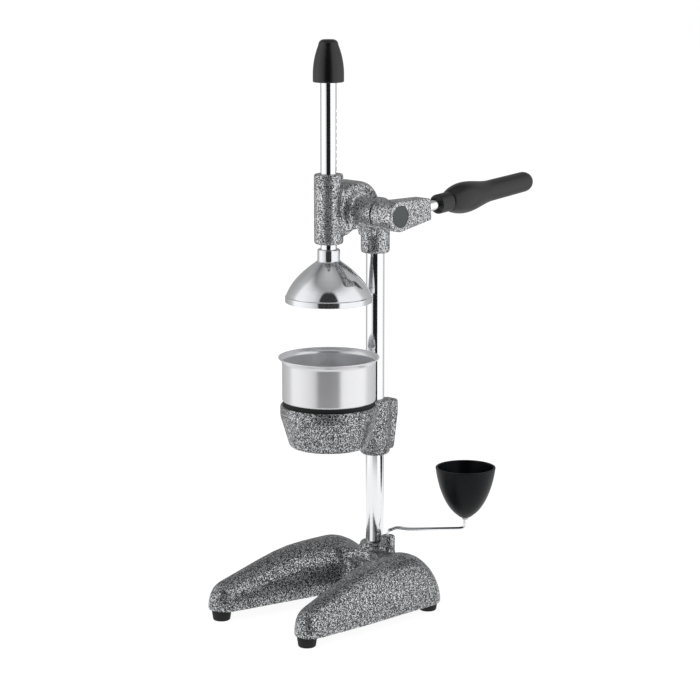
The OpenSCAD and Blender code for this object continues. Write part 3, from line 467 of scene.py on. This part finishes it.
def make_materials():
    """All finishes, kept by name so that each is made once."""
    if "silver_vein_enamel" in bpy.data.materials:
        return bpy.data.materials
    scene = bpy.context.scene
    colours, sizes = scene.press_colours, scene.press_sizes
    # Fewer pale worms on the base and the bowl holder: a darker copy of the same enamel, which
    # paints in the shade that falls on them
    silver_vein_enamel("silver_vein_enamel", colours, sizes, level=0.545)
    # More pale worms on the head and the lever: a paler copy of the same enamel, which paints in
    # the light that falls on them
    silver_vein_enamel("silver_vein_enamel_painted_light", colours, sizes, level=0.505)
    # Bright nickel-chromium plate: a mirror with the faintest haze
    polished_metal("chrome_plate", colours.chrome, roughness=0.04, spread=0.04)
    # Drawn carbon steel bar, ground and left bright
    polished_metal("ground_steel", linear("#c9cbcd"), roughness=0.16, spread=0.08, grain=220)
    # Cast aluminium, buffed on a wheel
    polished_metal("buffed_aluminium", linear("#cfd1d3"), roughness=0.2, spread=0.12, grain=160)
    # Zinc-plated fasteners: a cool, slightly cloudy grey
    polished_metal("zinc_plate", linear("#b9bcc0"), roughness=0.25, spread=0.12, grain=300)
    # Machined grey iron of the toothed sector: dark, with the sheen of a film of oil
    polished_metal("machined_iron", linear("#6c6e70"), roughness=0.3, spread=0.15, grain=260)
    # Chemically blacked screws: near black, with dull highlights
    polished_metal("black_oxide", linear("#26272a"), roughness=0.38, spread=0.12, grain=260)
    # Turned phosphor bronze bushes: warm, with soft highlights
    polished_metal("turned_bronze", linear("#b98d54"), roughness=0.24, spread=0.12, grain=260)
    # The bell, buffed until it mirrors the room
    spun_steel("spun_steel_polished", colours.spun_steel, roughness=0.08, ring=0.7,
               depth=0.002, metal=0.94)
    # The cup, left satin, so that its panels of light have soft edges
    spun_steel("spun_steel_satin", colours.cup_steel, roughness=0.19, ring=0.55, depth=0.004,
               metal=0.52)
    # Compression-moulded phenolic, black with a satin gloss
    moulded("phenolic_black", colours.phenolic, roughness=0.3, grain=2.4, depth=0.003)
    # The same moulding in the drip cup, washed often and so a little bluer and duller
    moulded("phenolic_cup", colours.cup_black, roughness=0.34, grain=2.4, depth=0.003, gloss=0.16)
    # Nitrile rubber, dull black
    moulded("nitrile_rubber", linear("#0a0a0b"), roughness=0.75, grain=0.5, depth=0.04)
    # Slate grey plastic disc that closes the end of the hub, with a fine spark-eroded grain
    moulded("slate_disc", colours.disc, roughness=0.42, grain=0.35, depth=0.02)
    return bpy.data.materials


# ---------------------------------------------------------------- settings

def colour_setting(label, text, value):
    """A colour setting with its default given in sRGB hex digits."""
    return bpy.props.FloatVectorProperty(name=label, description=text, default=linear(value),
                                         size=3, min=0, max=1, subtype="COLOR")


def length_setting(label, text, value):
    """A length setting with its default given in millimetres."""
    return bpy.props.FloatProperty(name=label, description=text, default=value * MM, min=0,
                                   subtype="DISTANCE", unit="LENGTH", precision=5)


class PressSizes(bpy.types.PropertyGroup):
    vein_spacing: length_setting("Vein spacing", "Distance between the enamel's pale worms", 1.22)
    casting_grain: length_setting("Casting mesh", "Side of the mesh on a cast skin", 1.3)
    lens: bpy.props.FloatProperty(name="Lens", description="Focal length of the camera on a 36 mm"
                                  " sensor", default=129.5, min=20, max=400)


class PressColours(bpy.types.PropertyGroup):
    enamel_ground: colour_setting("Enamel ground", "Dark ground of the castings", "#1b1d1f")
    enamel_silver: colour_setting("Enamel silver", "Pale worms of the castings", "#d6d7d9")
    chrome: colour_setting("Chrome", "Plate on the post and the rack", "#cdced1")
    spun_steel: colour_setting("Bell steel", "Polished steel of the bell", "#dadbde")
    cup_steel: colour_setting("Cup steel", "Satin steel of the cup", "#e6e6e9")
    phenolic: colour_setting("Phenolic", "Black of the grip and the rack cap", "#0b0b0c")
    cup_black: colour_setting("Drip cup", "Blue-black of the drip cup", "#0a0c10")
    disc: colour_setting("Disc", "Slate grey of the hub's disc", "#42484a")
    floor: colour_setting("Floor", "Pale floor under the press", "#f4f4f4")


# ---------------------------------------------------------------- pieces

class PRESS_OT_base(bpy.types.Operator):
    """The cast base: two legs, the bridge between them, the post's socket and the small boss"""
    bl_idname = "press.base"
    bl_label = "Base casting"

    def execute(self, context):
        grain = context.scene.press_sizes.casting_grain / MM
        bores = [((0, POST_Y, 0), Z, POST_BORE, 30, 75), ((*PIVOT, 0), Z, WIRE_BORE, 56, 86)]
        mesh = cast_skin("base_casting", "base_skin", grain * 1.15, 5, 26, bores)
        # The darker copy of the enamel, with painted shade on the base
        add_casting("base_skin", mesh, "stand", "silver_vein_enamel", "base_casting")
        return {"FINISHED"}


class PRESS_OT_feet(bpy.types.Operator):
    """Four moulded rubber feet and the screws that hold them"""
    bl_idname = "press.feet"
    bl_label = "Feet"

    def execute(self, context):
        outline = rounded([(5.5, 0), (9.0, 0), (10.2, 1.2), (11.8, 12), (2.55, 12), (2.55, 5),
                           (5.5, 5)], 0.7, closed=True)
        for end, y in (("front", -107), ("rear", 94)):
            for side, x in (("right", 72.5), ("left", -72.5)):
                node = f"foot_{end}_{side}"
                turned_piece(node + "_rubber", outline, "stand",
                             "nitrile_rubber", node, at=(x, y, 0), closed=True, segments=48)
                fine_piece(f"foot_screw_{end}_{side}", "stand", "zinc_plate")
        return {"FINISHED"}


class PRESS_OT_post(bpy.types.Operator):
    """The chromed post with the bolt and washer that hold it from below"""
    bl_idname = "press.post"
    bl_label = "Post"

    def execute(self, context):
        radius, low, high, bolt_r, bolt_top = 11, 30, 456.9, 5.05, 63
        outline = rounded([(0, bolt_top), (bolt_r, bolt_top), (bolt_r, low), (radius, low),
                           (radius, high), (0, high)], 0.8)
        turned_piece("post_bar", outline, "stand", "chrome_plate", "post",
                     at=(0, POST_Y, 0), segments=128)
        for node in ("post_bolt", "post_washer"):
            fine_piece(node, "stand", "zinc_plate")
        return {"FINISHED"}


def arch_cutter():
    """A body that clears a round arch under the head, from the rack's sleeve to the web before
    the post's socket: its outline runs y, z over the arch, and y is never less than
    sqrt(radius^2 - x^2), so that the round of the sleeve isn't touched."""
    sleeve_r, half_width, top, low, corner = 17.0, 20.0, 461.0, 425.0, 14.0
    left, right = 11.5, 41.0
    x = np.linspace(-half_width, half_width, 41)
    near = np.sqrt(np.maximum(sleeve_r ** 2 - x ** 2, 0)) + 0.02
    a = np.radians(np.linspace(0, 90, 10))
    run, rise = corner * (1 - np.cos(a)), top - corner + corner * np.sin(a)
    outline_y = np.concatenate([[left], left + run, right - run[::-1], [right]])
    outline_z = np.concatenate([[low], rise, rise[::-1], [low]])
    y = np.maximum(outline_y[:, None], near[None])
    rows, cols = y.shape
    points = np.stack([np.broadcast_to(x[None], y.shape), y,
                       np.broadcast_to(outline_z[:, None], y.shape)], -1)
    ends = [[r * cols + c for r in range(rows)] for c in (0, cols - 1)]
    faces = grid_faces(rows, cols, close_rows=True, close_cols=False) + ends
    return add_object("arch_cutter", write_mesh("arch_cutter", points.reshape(-1, 3), faces))


def draw_in(mesh, limit):
    """Draws a skin's end on the lever's side back to a plane, which opens the dark seam there."""
    points = read_points(mesh)
    points[:, 0] = np.minimum(points[:, 0], limit * MM)
    write_points(mesh, points)


class PRESS_OT_head(bpy.types.Operator):
    """The cast head: rack sleeve, gear housing, post socket and shaft bosses in one skin"""
    bl_idname = "press.head"
    bl_label = "Head casting"

    def execute(self, context):
        grain = context.scene.press_sizes.casting_grain / MM
        sleeve_r, socket_r, boss_r, bush_r, seam_x = 17.0, 17.2, 17.0, 10.55, 48.4
        screws = 434.4, 448.4
        bores = [((0, 0, 0), Z, RACK_BORE, 445, 527), ((0, POST_Y, 0), Z, POST_BORE, 426, 457),
                 (SHAFT, X, bush_r, -26, 50)]
        bores += [((0, POST_Y, z), Y, SCREW_BORE, 11, 17) for z in screws]
        bores += [((0, 0, 0), Z, sleeve_r, 449, 523), (SHAFT, X, boss_r, 21, 47),
                  ((0, POST_Y, 0), Z, socket_r, 431, 456)]
        mesh = cast_skin("head_casting", "head_skin", grain * 0.75, 8, 30, bores, arch_cutter())
        draw_in(mesh, seam_x)
        # The paler copy of the enamel, with painted light on the head
        add_casting("head_skin", mesh, "stand", "silver_vein_enamel_painted_light", "head_casting")
        for node in ("head_screw_upper", "head_screw_lower"):
            fine_piece(node, "stand", "black_oxide")
        for node in ("bush_lever_side", "bush_far_side"):
            fine_piece(node, "stand", "turned_bronze")
        return {"FINISHED"}


class PRESS_OT_holder(bpy.types.Operator):
    """The cast bowl that clamps to the post and holds the cup, with its screws and rubber ring"""
    bl_idname = "press.holder"
    bl_label = "Bowl holder"

    def execute(self, context):
        grain = context.scene.press_sizes.casting_grain / MM
        seat_r, screws = 54.3, (233, 203)
        bores = [((0, 0, 0), Z, seat_r, 254.5, 256), ((0, POST_Y, 0), Z, POST_BORE, 183, 250)]
        bores += [((0, POST_Y, z), Y, SCREW_BORE, 11, 31) for z in screws]
        mesh = cast_skin("bowl_holder", "holder_skin", grain, 5, 30, bores)
        # The darker copy of the enamel, with painted shade on the bowl holder
        add_casting("holder_skin", mesh, "stand", "silver_vein_enamel", "bowl_holder")
        for node in ("holder_screw_upper", "holder_screw_lower"):
            fine_piece(node, "stand", "black_oxide")
        inner, outer, low, high = 49, 54, 254.2, 260
        ring = rounded([(inner, low), (outer, low), (outer, high), (inner, high)], 1.0,
                       closed=True)
        turned_piece("rubber_ring_band", ring, "stand", "nitrile_rubber",
                     "rubber_ring", closed=True, segments=144)
        return {"FINISHED"}


class PRESS_OT_rack(bpy.types.Operator):
    """The chromed rack: a round bar with a row of teeth cut into its rear side"""
    bl_idname = "press.rack"
    bl_label = "Rack"

    def execute(self, context):
        radius, tooth_module, pressure_angle, free = 9.5, 2.5, 20, 99
        low_end, high_end = 426.8, 667.4
        pitch, slope = math.pi * tooth_module, math.tan(math.radians(pressure_angle))
        tip, middle, root = 9.25, 6.75, 3.625
        half_tip = pitch / 4 + (tip - middle) * slope
        half_root = pitch / 4 - (middle - root) * slope
        gaps = SHAFT[2] + pitch * np.arange(-1, 16)
        share = np.linspace(0, 1, 7)
        flank_z, flank_y = half_tip + (half_root - half_tip) * share, tip + (root - tip) * share
        cut_z = (gaps[:, None] + np.concatenate([-flank_z, flank_z[::-1]])).ravel()
        cut_y = np.tile(np.concatenate([flank_y, flank_y[::-1]]), len(gaps))
        low, high = gaps[0] - pitch / 2, gaps[-1] + pitch / 2
        # Each row is a radius, a height and the most that y may be on that ring
        rows = np.array([(0, low_end + 25, free), (SCREW_BORE, low_end + 25, free),
                         (SCREW_BORE, low_end, free), (radius - 0.5, low_end, free),
                         (radius, low_end + 0.5, free), (radius, low, free), (radius, low, tip)]
                        + [(radius, z, y) for z, y in zip(cut_z, cut_y)]
                        + [(radius, high, tip), (radius, high, free),
                           (radius, high_end - 1, free), (radius - 1, high_end, free),
                           (0, high_end, free)])
        segments = 144
        points = revolve(rows[:, :2], segments)
        limit = np.repeat(rows[:, 2], segments)
        points[:, 1] = np.minimum(points[:, 1], limit)
        mesh = write_mesh("rack_bar", points, grid_faces(len(rows), segments))
        add_piece("rack_bar", mesh, "ram", "chrome_plate", "rack", 30)
        return {"FINISHED"}


class PRESS_OT_rack_cap(bpy.types.Operator):
    """The black cap on the rack: a skirt that draws in along r = r0 - (r0 - r1) t ^ 2.1"""
    bl_idname = "press.rack_cap"
    bl_label = "Rack cap"

    def execute(self, context):
        low, high, foot, top, straight, edge, hole_end = 632.0, 680.5, 18.0, 11.5, 8, 6, 667.6
        t = np.linspace(0, 1, 28)
        flank = np.stack([foot - (foot - top) * t ** 2.1,
                          low + straight + (high - low - straight - edge) * t], 1)
        a = np.radians(np.linspace(0, 90, 10))[1:]
        crown = np.stack([top - edge + edge * np.cos(a), high - edge + edge * np.sin(a)], 1)
        skirt = rounded([(0, hole_end), (RACK_BORE, hole_end), (RACK_BORE, low), (foot, low),
                         (foot, low + straight)], [0, 0, 0.5, 1.4, 0])
        outline = np.concatenate([skirt, flank[1:], crown, [[0, high]]])
        turned_piece("rack_cap_knob", outline, "ram", "phenolic_black",
                     "rack_cap")
        return {"FINISHED"}


class PRESS_OT_bell(bpy.types.Operator):
    """The spun bell that comes down on the fruit: a rim band, a dome r = R - 13.6 t - 22.2 t^2 and
    a neck, with the same dome drawn in by the wall inside"""
    bl_idname = "press.bell"
    bl_label = "Bell"

    def execute(self, context):
        rim, wide, band, shoulder, wall = 377.3, 50.9, 7.0, 424.8, 2.0
        neck, neck_top, seat, hole = 13.2, 439.3, 426.8, 4.2

        def dome(end, inset):
            """(r, z) of the dome up to share end of its height, drawn in by an inset."""
            t = np.linspace(0, end, 48)
            r = wide - 1 - 13.6 * t - 22.2 * t ** 2 - inset
            return np.stack([r, rim + band + (shoulder - rim - band) * t], 1)

        outer, inner = dome(1, 0), dome(0.9506, 2.3)[::-1]
        low = rounded([(wide - wall, rim), (wide, rim), (wide, rim + band - 0.6),
                       (wide - 1, rim + band + 0.2)], [0.3, 0.6, 0.5, 0.2])
        top = rounded([tuple(outer[-3]), (neck, shoulder + 0.6), (neck, neck_top),
                       (RACK_BORE, neck_top), (RACK_BORE, seat), (hole, seat),
                       (hole, shoulder - wall), (14.6, shoulder - wall)],
                      [0, 2.0, 2.2, 0.3, 0.2, 0.2, 0.2, 0])
        outline = np.concatenate([low, outer[1:-3], top, inner[1:]])
        turned_piece("bell_shell", outline, "ram", "spun_steel_polished",
                     "bell", closed=True, segments=144)
        for node in ("bell_washer", "bell_screw"):
            fine_piece(node, "ram", "zinc_plate")
        return {"FINISHED"}


class PRESS_OT_gear(bpy.types.Operator):
    """The toothed sector, its shaft, key and collar, which drive the rack"""
    bl_idname = "press.gear"
    bl_label = "Gear train"

    def execute(self, context):
        fine_piece("sector_gear", "lever", "machined_iron", edge=0.3)
        for node in ("shaft", "gear_key"):
            fine_piece(node, "lever", "ground_steel")
        fine_piece("shaft_collar", "lever", "zinc_plate", edge=0.5)
        fine_piece("collar_screw", "lever", "black_oxide")
        fine_piece("hub_pin", "lever", "ground_steel")
        return {"FINISHED"}


class PRESS_OT_lever(bpy.types.Operator):
    """The cast lever arm with the grey disc in its hub, and the bright rod it carries"""
    bl_idname = "press.lever"
    bl_label = "Lever"

    def execute(self, context):
        grain = context.scene.press_sizes.casting_grain / MM
        tilt = turn_x(LEVER_TILT)
        rod_start, rod_r = np.array(SHAFT) + (ROD_X, 0, 0), 6
        bores = [(SHAFT, X, 8.05, 51, 79), (SHAFT, X, 12.85, 80.5, 83),
                 (rod_start, tilt @ np.array(Y), rod_r + 0.05, 29, 51)]
        mesh = cast_skin("lever_arm", "lever_skin", grain * 0.6, 3, 16, bores)
        # The paler copy of the enamel, with painted light on the lever
        add_casting("lever_skin", mesh, "lever", "silver_vein_enamel_painted_light", "lever_arm")
        disc_r, near, far = 12.8, 79.9, 83.0
        disc = rounded([(0, near), (disc_r, near), (disc_r, far), (disc_r - 0.9, far),
                        (disc_r - 1.4, far - 0.4), (0, far - 0.4)], [0, 0.2, 0.5, 0.3, 0.4, 0])
        turned_piece("hub_disc_face", disc, "lever", "slate_disc", "hub_disc",
                     turn=tilt @ ALONG_X, at=SHAFT, segments=72)
        rod = rounded([(0, 28.5), (rod_r, 28.5), (rod_r, 218), (0, 218)], 0.5)
        turned_piece("lever_rod_bar", rod, "lever", "chrome_plate", "lever_rod",
                     turn=tilt @ ALONG_Y, at=rod_start, segments=64)
        return {"FINISHED"}


class PRESS_OT_grip(bpy.types.Operator):
    """The moulded grip: a collar, a swell that rises as sin ^ 0.75 and falls as a cosine to a
    slim tail, and a round end"""
    bl_idname = "press.grip"
    bl_label = "Grip"

    def execute(self, context):
        start, end, hole_end, hole_r = 71.5, 238.0, 218.3, 6.05
        collar_r, collar_end, swell, tail, tail_end, nose = 11.5, 92.5, 18.3, 12.6, 12.1, 14.0
        full, slim = 0.2, 0.56
        t = np.concatenate([full * np.linspace(0, 1, 24) ** 2, np.linspace(full, 1, 60)[1:]])
        quarter = np.radians(90 * np.minimum(t, full) / full)
        rise = collar_r + (swell - collar_r) * np.sin(quarter) ** 0.75
        half = np.pi * np.clip((t - full) / (slim - full), 0, 1)
        fall = tail + (swell - tail) * (1 + np.cos(half)) / 2
        taper = tail + (tail_end - tail) * (t - slim) / (1 - slim)
        r = np.where(t < full, rise, np.where(t < slim, fall, taper))
        body = np.stack([r, collar_end + (end - nose - collar_end) * t], 1)
        a = np.radians(np.linspace(0, 90, 16))[1:]
        cap = np.stack([tail_end * np.cos(a), end - nose + (nose - 0.1) * np.sin(a)], 1)
        mouth = rounded([(0, hole_end), (hole_r, hole_end), (hole_r, start), (8.4, start),
                         (collar_r, start + 1.2), (collar_r, collar_end)],
                        [0, 0, 0.2, 0.4, 2.0, 0])
        outline = np.concatenate([mouth, body[1:], cap])
        turned_piece("grip_handle", outline, "lever", "phenolic_black", "grip",
                     turn=turn_x(LEVER_TILT) @ ALONG_Y, at=np.array(SHAFT) + (ROD_X, 0, 0))
        return {"FINISHED"}


class PRESS_OT_cup(bpy.types.Operator):
    """The spun steel cup with its flared lip, basin and spout, in one turned wall"""
    bl_idname = "press.cup"
    bl_label = "Cup"

    def execute(self, context):
        outer, inner, lip, rim, shoulder, basin = 54.8, 53.6, 59.2, 312.0, 260.0, 238.0
        outline = rounded([
            (10.8, basin - 10), (12, basin - 10), (12, basin), (44, basin + 1.5),
            (47, basin + 2.4), (47, shoulder), (outer, shoulder), (outer, rim - 5),
            (lip, rim - 1), (lip, rim), (57.8, rim), (inner, rim - 4.4), (inner, shoulder + 1.2),
            (45.8, shoulder + 1.2), (45.8, basin + 3), (43.8, basin + 2.7), (12, basin + 1.2),
            (10.8, basin + 0.4)],
            [0.3, 0.3, 1.5, 1, 1.5, 0.4, 2.4, 3.0, 0.6, 0.5, 0.8, 3.0, 1.6, 0.4, 1.5, 1, 1.5, 0.5],
            steps=7, closed=True)
        turned_piece("cup_bowl", outline, "cup_body", "spun_steel_satin", "cup",
                     closed=True, segments=160, crease=50)
        return {"FINISHED"}


class PRESS_OT_strainer(bpy.types.Operator):
    """The ribbed cone on its slotted plate, with the soft edges of a polished casting"""
    bl_idname = "press.strainer"
    bl_label = "Cone strainer"

    def execute(self, context):
        mesh = cast_skin("cone_strainer", "strainer_skin", 0.62, 2, 5)
        add_piece("strainer_skin", mesh, "strainer_body", "buffed_aluminium",
                  "cone_strainer", 50)
        return {"FINISHED"}


class PRESS_OT_drip_arm(bpy.types.Operator):
    """The bent wire arm that swings the drip cup under the spout, with its two nuts"""
    bl_idname = "press.drip_arm"
    bl_label = "Drip arm"

    def execute(self, context):
        boss, z, x, wire_r, sides = 86.0, 92.5, ARM_REACH, 2.0, 20
        line = corner_cut([
            (0, 56), (0, 60), (0, 85), (0, boss + 2.6), (1.2, boss + 6), (4.2, z - 0.2),
            (9, z + 1.9), (13.5, z + 2.2), (20, z + 0.8), (27, z), (45, z), (80, z), (x - 5, z),
            (x - 1, z + 1.2), (x, z + 5), (x, z + 8), (x, 112.9), (x, 113)])
        path = np.stack([line[:, 0], 0 * line[:, 0], line[:, 1]], 1)
        points = placed(swept(path, wire_r, sides), turn_z(ARM_TURN), (*PIVOT, 0))
        mesh = write_mesh("drip_wire_rod", points, grid_faces(len(path) + 2, sides))
        add_piece("drip_wire_rod", mesh, "drip_body", "chrome_plate",
                  "drip_wire")
        for node in ("drip_nut_lower", "drip_nut_upper"):
            fine_piece(node, "drip_body", "zinc_plate")
        return {"FINISHED"}


class PRESS_OT_drip_cup(bpy.types.Operator):
    """The moulded drip cup: r = R (t ^ 0.42 + sin(90 t ^ 0.72) ^ 0.82) / 2 up its height, and
    the same line inside, in from its wall and up from its floor"""
    bl_idname = "press.drip_cup"
    bl_label = "Drip cup"

    def execute(self, context):
        low, height, wide, wall, foot = 106.5, 62.0, 36.0, 2.6, 6.0
        t = np.linspace(0.05, 1, 44)

        def flank(inset):
            """(r, z) of the cup's side, in and up by a wall."""
            r = (wide - inset) * (t ** 0.42 + np.sin(np.radians(90 * t ** 0.72)) ** 0.82) / 2
            return np.stack([r, low + inset + (height - inset) * t], 1)

        outer, inner = flank(0), flank(wall)[::-1]
        rim = rounded([tuple(outer[-2]), tuple(outer[-1]), tuple(inner[0]), tuple(inner[1])],
                      [0, 1.0, 1.0, 0])
        foot_line = rounded([tuple(inner[-1]), (foot - 1, low + wall), (WIRE_BORE, low + wall),
                             (WIRE_BORE, low), (foot, low), tuple(outer[1])],
                            [0, 2.0, 0.2, 0.2, 3.0, 0])
        outline = np.concatenate([outer[2:-2], rim, inner[2:-1], foot_line])
        arm_end = placed(np.array([ARM_REACH, 0, 0]), turn_z(ARM_TURN), (*PIVOT, 0))
        turned_piece("drip_cup_bowl", outline, "drip_body", "phenolic_cup",
                     "drip_cup", at=arm_end, closed=True, segments=112)
        return {"FINISHED"}


# ---------------------------------------------------------------- stage

CAMERA_BEARING, CAMERA_RISE = 45, 11.2


def direction(bearing, rise=0):
    """The direction at a bearing to the right of the open front and a rise, both in degrees:
    (sin bearing cos rise, -cos bearing cos rise, sin rise)."""
    a, b = math.radians(bearing), math.radians(rise)
    return np.array([math.sin(a) * math.cos(b), -math.cos(a) * math.cos(b), math.sin(b)])


def level_axes(back):
    """The X, Y and Z axes of an object that looks away from back and stands level."""
    back = back / np.linalg.norm(back)
    right = np.cross(Z, back)
    right /= np.linalg.norm(right)
    return right, np.cross(back, right), back


def put(item, axes, spot):
    """Puts an object at a spot in metres, with its own axes along the given ones."""
    basis = Matrix([(*axis, 0) for axis in axes] + [(0, 0, 0, 1)]).transposed()
    basis.translation = tuple(spot)
    item.matrix_world = basis


def soft_box(name, bearing, height, distance, width, tall, watts):
    """A rectangular lamp turned to the middle of the press, in metres, at a bearing in degrees
    to the right of the camera's side. Polished metal doesn't show it."""
    middle = np.array([0, 0, 0.33])
    spot = direction(CAMERA_BEARING + bearing) * distance + (0, 0, height)
    lamp = bpy.data.lights.new(name, "AREA")
    lamp.shape = "RECTANGLE"
    lamp.size, lamp.size_y, lamp.energy = width, tall, watts
    item = add_object(name, lamp)
    item.visible_glossy = False
    put(item, level_axes(spot - middle), spot)


def paper(colour):
    """Pale paper. The camera sees it glow almost white, with only the shadows left on it. In
    polished metal it ends at arm's length, and the room shows below it."""
    material = bpy.data.materials.new("floor_paper")
    tree = empty_tree(material)
    path = add(tree, "ShaderNodeLightPath").outputs
    seen = maths(tree, "MAXIMUM", path["Is Camera Ray"], path["Is Glossy Ray"])
    seen = maths(tree, "MAXIMUM", seen, path["Is Transmission Ray"])
    matt = add(tree, "ShaderNodeBsdfDiffuse", {"Color": rgba(colour)}).outputs[0]
    faint = add(tree, "ShaderNodeBsdfDiffuse", {"Color": rgba(shaded(colour, 0.22))}).outputs[0]
    glow = add(tree, "ShaderNodeEmission", {"Color": rgba(1), "Strength": 0.93}).outputs[0]
    shown = add(tree, "ShaderNodeAddShader", {0: faint, 1: glow}).outputs[0]
    both = add(tree, "ShaderNodeMixShader", {0: seen, 1: matt, 2: shown}).outputs[0]
    spot = add(tree, "ShaderNodeTexCoord").outputs["Object"]
    away = add(tree, "ShaderNodeMapRange", {"Value": vector_maths(tree, "LENGTH", spot),
                                            "From Min": 0.45, "From Max": 0.75}).outputs[0]
    away = maths(tree, "MULTIPLY", away, path["Is Glossy Ray"])
    clear = add(tree, "ShaderNodeBsdfTransparent").outputs[0]
    whole = add(tree, "ShaderNodeMixShader", {0: away, 1: both, 2: clear}).outputs[0]
    add(tree, "ShaderNodeOutputMaterial", {"Surface": whole})
    return material


def room():
    """The room by bearing round the press, in degrees to the right of the camera's side: a dark
    opening where the camera stands, white panels at both hands, a greyer rear wall and a grey
    ceiling. Camera rays see plain white, and diffuse light comes in evenly."""
    world = bpy.data.worlds.new("room")
    tree = empty_tree(world)
    path = add(tree, "ShaderNodeLightPath").outputs
    heading = add(tree, "ShaderNodeTexCoord").outputs["Generated"]
    front, side, rise = [
        vector_maths(tree, "DOT_PRODUCT", heading, tuple(axis))
        for axis in (direction(CAMERA_BEARING), direction(CAMERA_BEARING + 90), Z)]
    bearing = maths(tree, "ARCTAN2", side, front)
    height = maths(tree, "ARCSINE", rise)
    turn = maths(tree, "MULTIPLY_ADD", bearing, 0.5 / math.pi, 0.5)
    climb = maths(tree, "MULTIPLY", height, 2 / math.pi)

    def by_bearing(*stops):
        """A ramp of greys by bearing in degrees."""
        return ramp(tree, turn, [((b + 180) / 360, grey) for b, grey in stops])

    def by_height(*stops):
        """A ramp of shares by height in degrees."""
        return ramp(tree, climb, [(h / 90, share) for h, share in stops])

    wall = by_bearing((-180, 0.4), (-140, 0.5), (-114, 0.75), (-101, 1.4), (-80, 1.4),
                      (-48, 1.12), (-30, 0.7), (24, 1.0), (34, 1.35), (98, 1.35),
                      (112, 0.75), (145, 0.55), (180, 0.4))
    ceiling = by_bearing((-180, 0.08), (-125, 0.15), (-60, 0.35), (0, 0.42), (60, 0.4),
                         (125, 0.2), (180, 0.08))
    overhead, evenly = rgba(0.62), rgba(0.55)
    walls_up = by_height((0, 0.0), (14, 0.08), (40, 0.14), (50, 0.4), (62, 0.95))
    shell = mixed(tree, walls_up, wall, ceiling)
    shell = mixed(tree, by_height((62, 0.0), (84, 1.0)), shell, overhead)

    # The opening's edge is where (bearing / 29) ^ 4 + (height / 57) ^ 4 is 1
    across, upward = [
        maths(tree, "POWER", maths(tree, "ABSOLUTE",
                                   maths(tree, "DIVIDE", angle, math.radians(half))), 4.0)
        for angle, half in ((bearing, 29), (height, 57))]
    reach = maths(tree, "POWER", maths(tree, "ADD", across, upward), 0.25)
    opening = ramp(tree, maths(tree, "MULTIPLY", reach, 0.5), [(0.46, 0.015), (0.52, 1.0)])
    in_metal = mixed(tree, 1.0, shell, opening, "MULTIPLY")
    light = mixed(tree, path["Is Glossy Ray"], evenly, in_metal)
    colour = mixed(tree, path["Is Camera Ray"], light, rgba(1))
    shade = add(tree, "ShaderNodeBackground", {"Color": colour, "Strength": 1.0}).outputs[0]
    add(tree, "ShaderNodeOutputWorld", {"Surface": shade})
    return world


class PRESS_OT_stage(bpy.types.Operator):
    """The pale floor, the soft light and the surroundings that polished metal shows"""
    bl_idname = "press.stage"
    bl_label = "Floor and light"

    def execute(self, context):
        floor_radius = 9000
        rim = revolve([(floor_radius, 0)]) * MM
        mesh = bpy.data.meshes.new("floor")
        mesh.from_pydata(rim.tolist(), [], [list(range(len(rim)))])
        mesh.materials.append(paper(context.scene.press_colours.floor))
        floor = add_object("floor", mesh)
        soft_box("soft_box_right", bearing=78, height=0.9, distance=1.7, width=1.7, tall=1.7,
                 watts=12.0)
        soft_box("soft_box_left", bearing=-75, height=0.8, distance=1.9, width=1.4, tall=1.5,
                 watts=4.0)
        context.scene.world = room()
        return {"FINISHED"}


class PRESS_OT_camera(bpy.types.Operator):
    """The camera at the photograph's angle: 45 degrees round to the right and 11.2 degrees up"""
    bl_idname = "press.camera"
    bl_label = "Camera"

    def execute(self, context):
        middle, distance, to_right, upward = 300, 2942, 24.65, 19.4
        right, up, back = level_axes(direction(CAMERA_BEARING, CAMERA_RISE))
        spot = np.array([0, 0, middle]) + distance * back + to_right * right + upward * up
        lens = bpy.data.cameras.new("camera")
        lens.lens = context.scene.press_sizes.lens
        lens.sensor_width = 36
        lens.clip_end = 50
        item = add_object("camera", lens)
        put(item, (right, up, back), spot * MM)
        context.scene.camera = item
        context.scene.view_settings.view_transform = "Standard"
        return {"FINISHED"}


STEPS = (PRESS_OT_camera, PRESS_OT_stage, PRESS_OT_base, PRESS_OT_feet, PRESS_OT_post,
         PRESS_OT_head, PRESS_OT_holder, PRESS_OT_rack, PRESS_OT_rack_cap, PRESS_OT_bell,
         PRESS_OT_gear, PRESS_OT_lever, PRESS_OT_grip, PRESS_OT_cup, PRESS_OT_strainer,
         PRESS_OT_drip_arm, PRESS_OT_drip_cup)


class PRESS_PT_panel(bpy.types.Panel):
    """Settings and steps of the press in the 3D view's sidebar"""
    bl_idname = "PRESS_PT_panel"
    bl_label = "Citrus press"
    bl_space_type = "VIEW_3D"
    bl_region_type = "UI"
    bl_category = "Citrus press"

    def draw(self, context):
        for group in (context.scene.press_sizes, context.scene.press_colours):
            box = self.layout.box()
            for key in group.__annotations__:
                box.prop(group, key)
        for step in STEPS:
            self.layout.operator(step.bl_idname)


CLASSES = (PressSizes, PressColours, *STEPS, PRESS_PT_panel)


def register():
    for cls in CLASSES:
        bpy.utils.register_class(cls)
    bpy.types.Scene.press_sizes = bpy.props.PointerProperty(type=PressSizes)
    bpy.types.Scene.press_colours = bpy.props.PointerProperty(type=PressColours)


def unregister():
    del bpy.types.Scene.press_colours
    del bpy.types.Scene.press_sizes
    for cls in reversed(CLASSES):
        bpy.utils.unregister_class(cls)


def main():
    """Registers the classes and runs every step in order."""
    register()
    for step in STEPS:
        group, name = step.bl_idname.split(".")
        getattr(getattr(bpy.ops, group), name)()


if __name__ == "__main__":
    main()
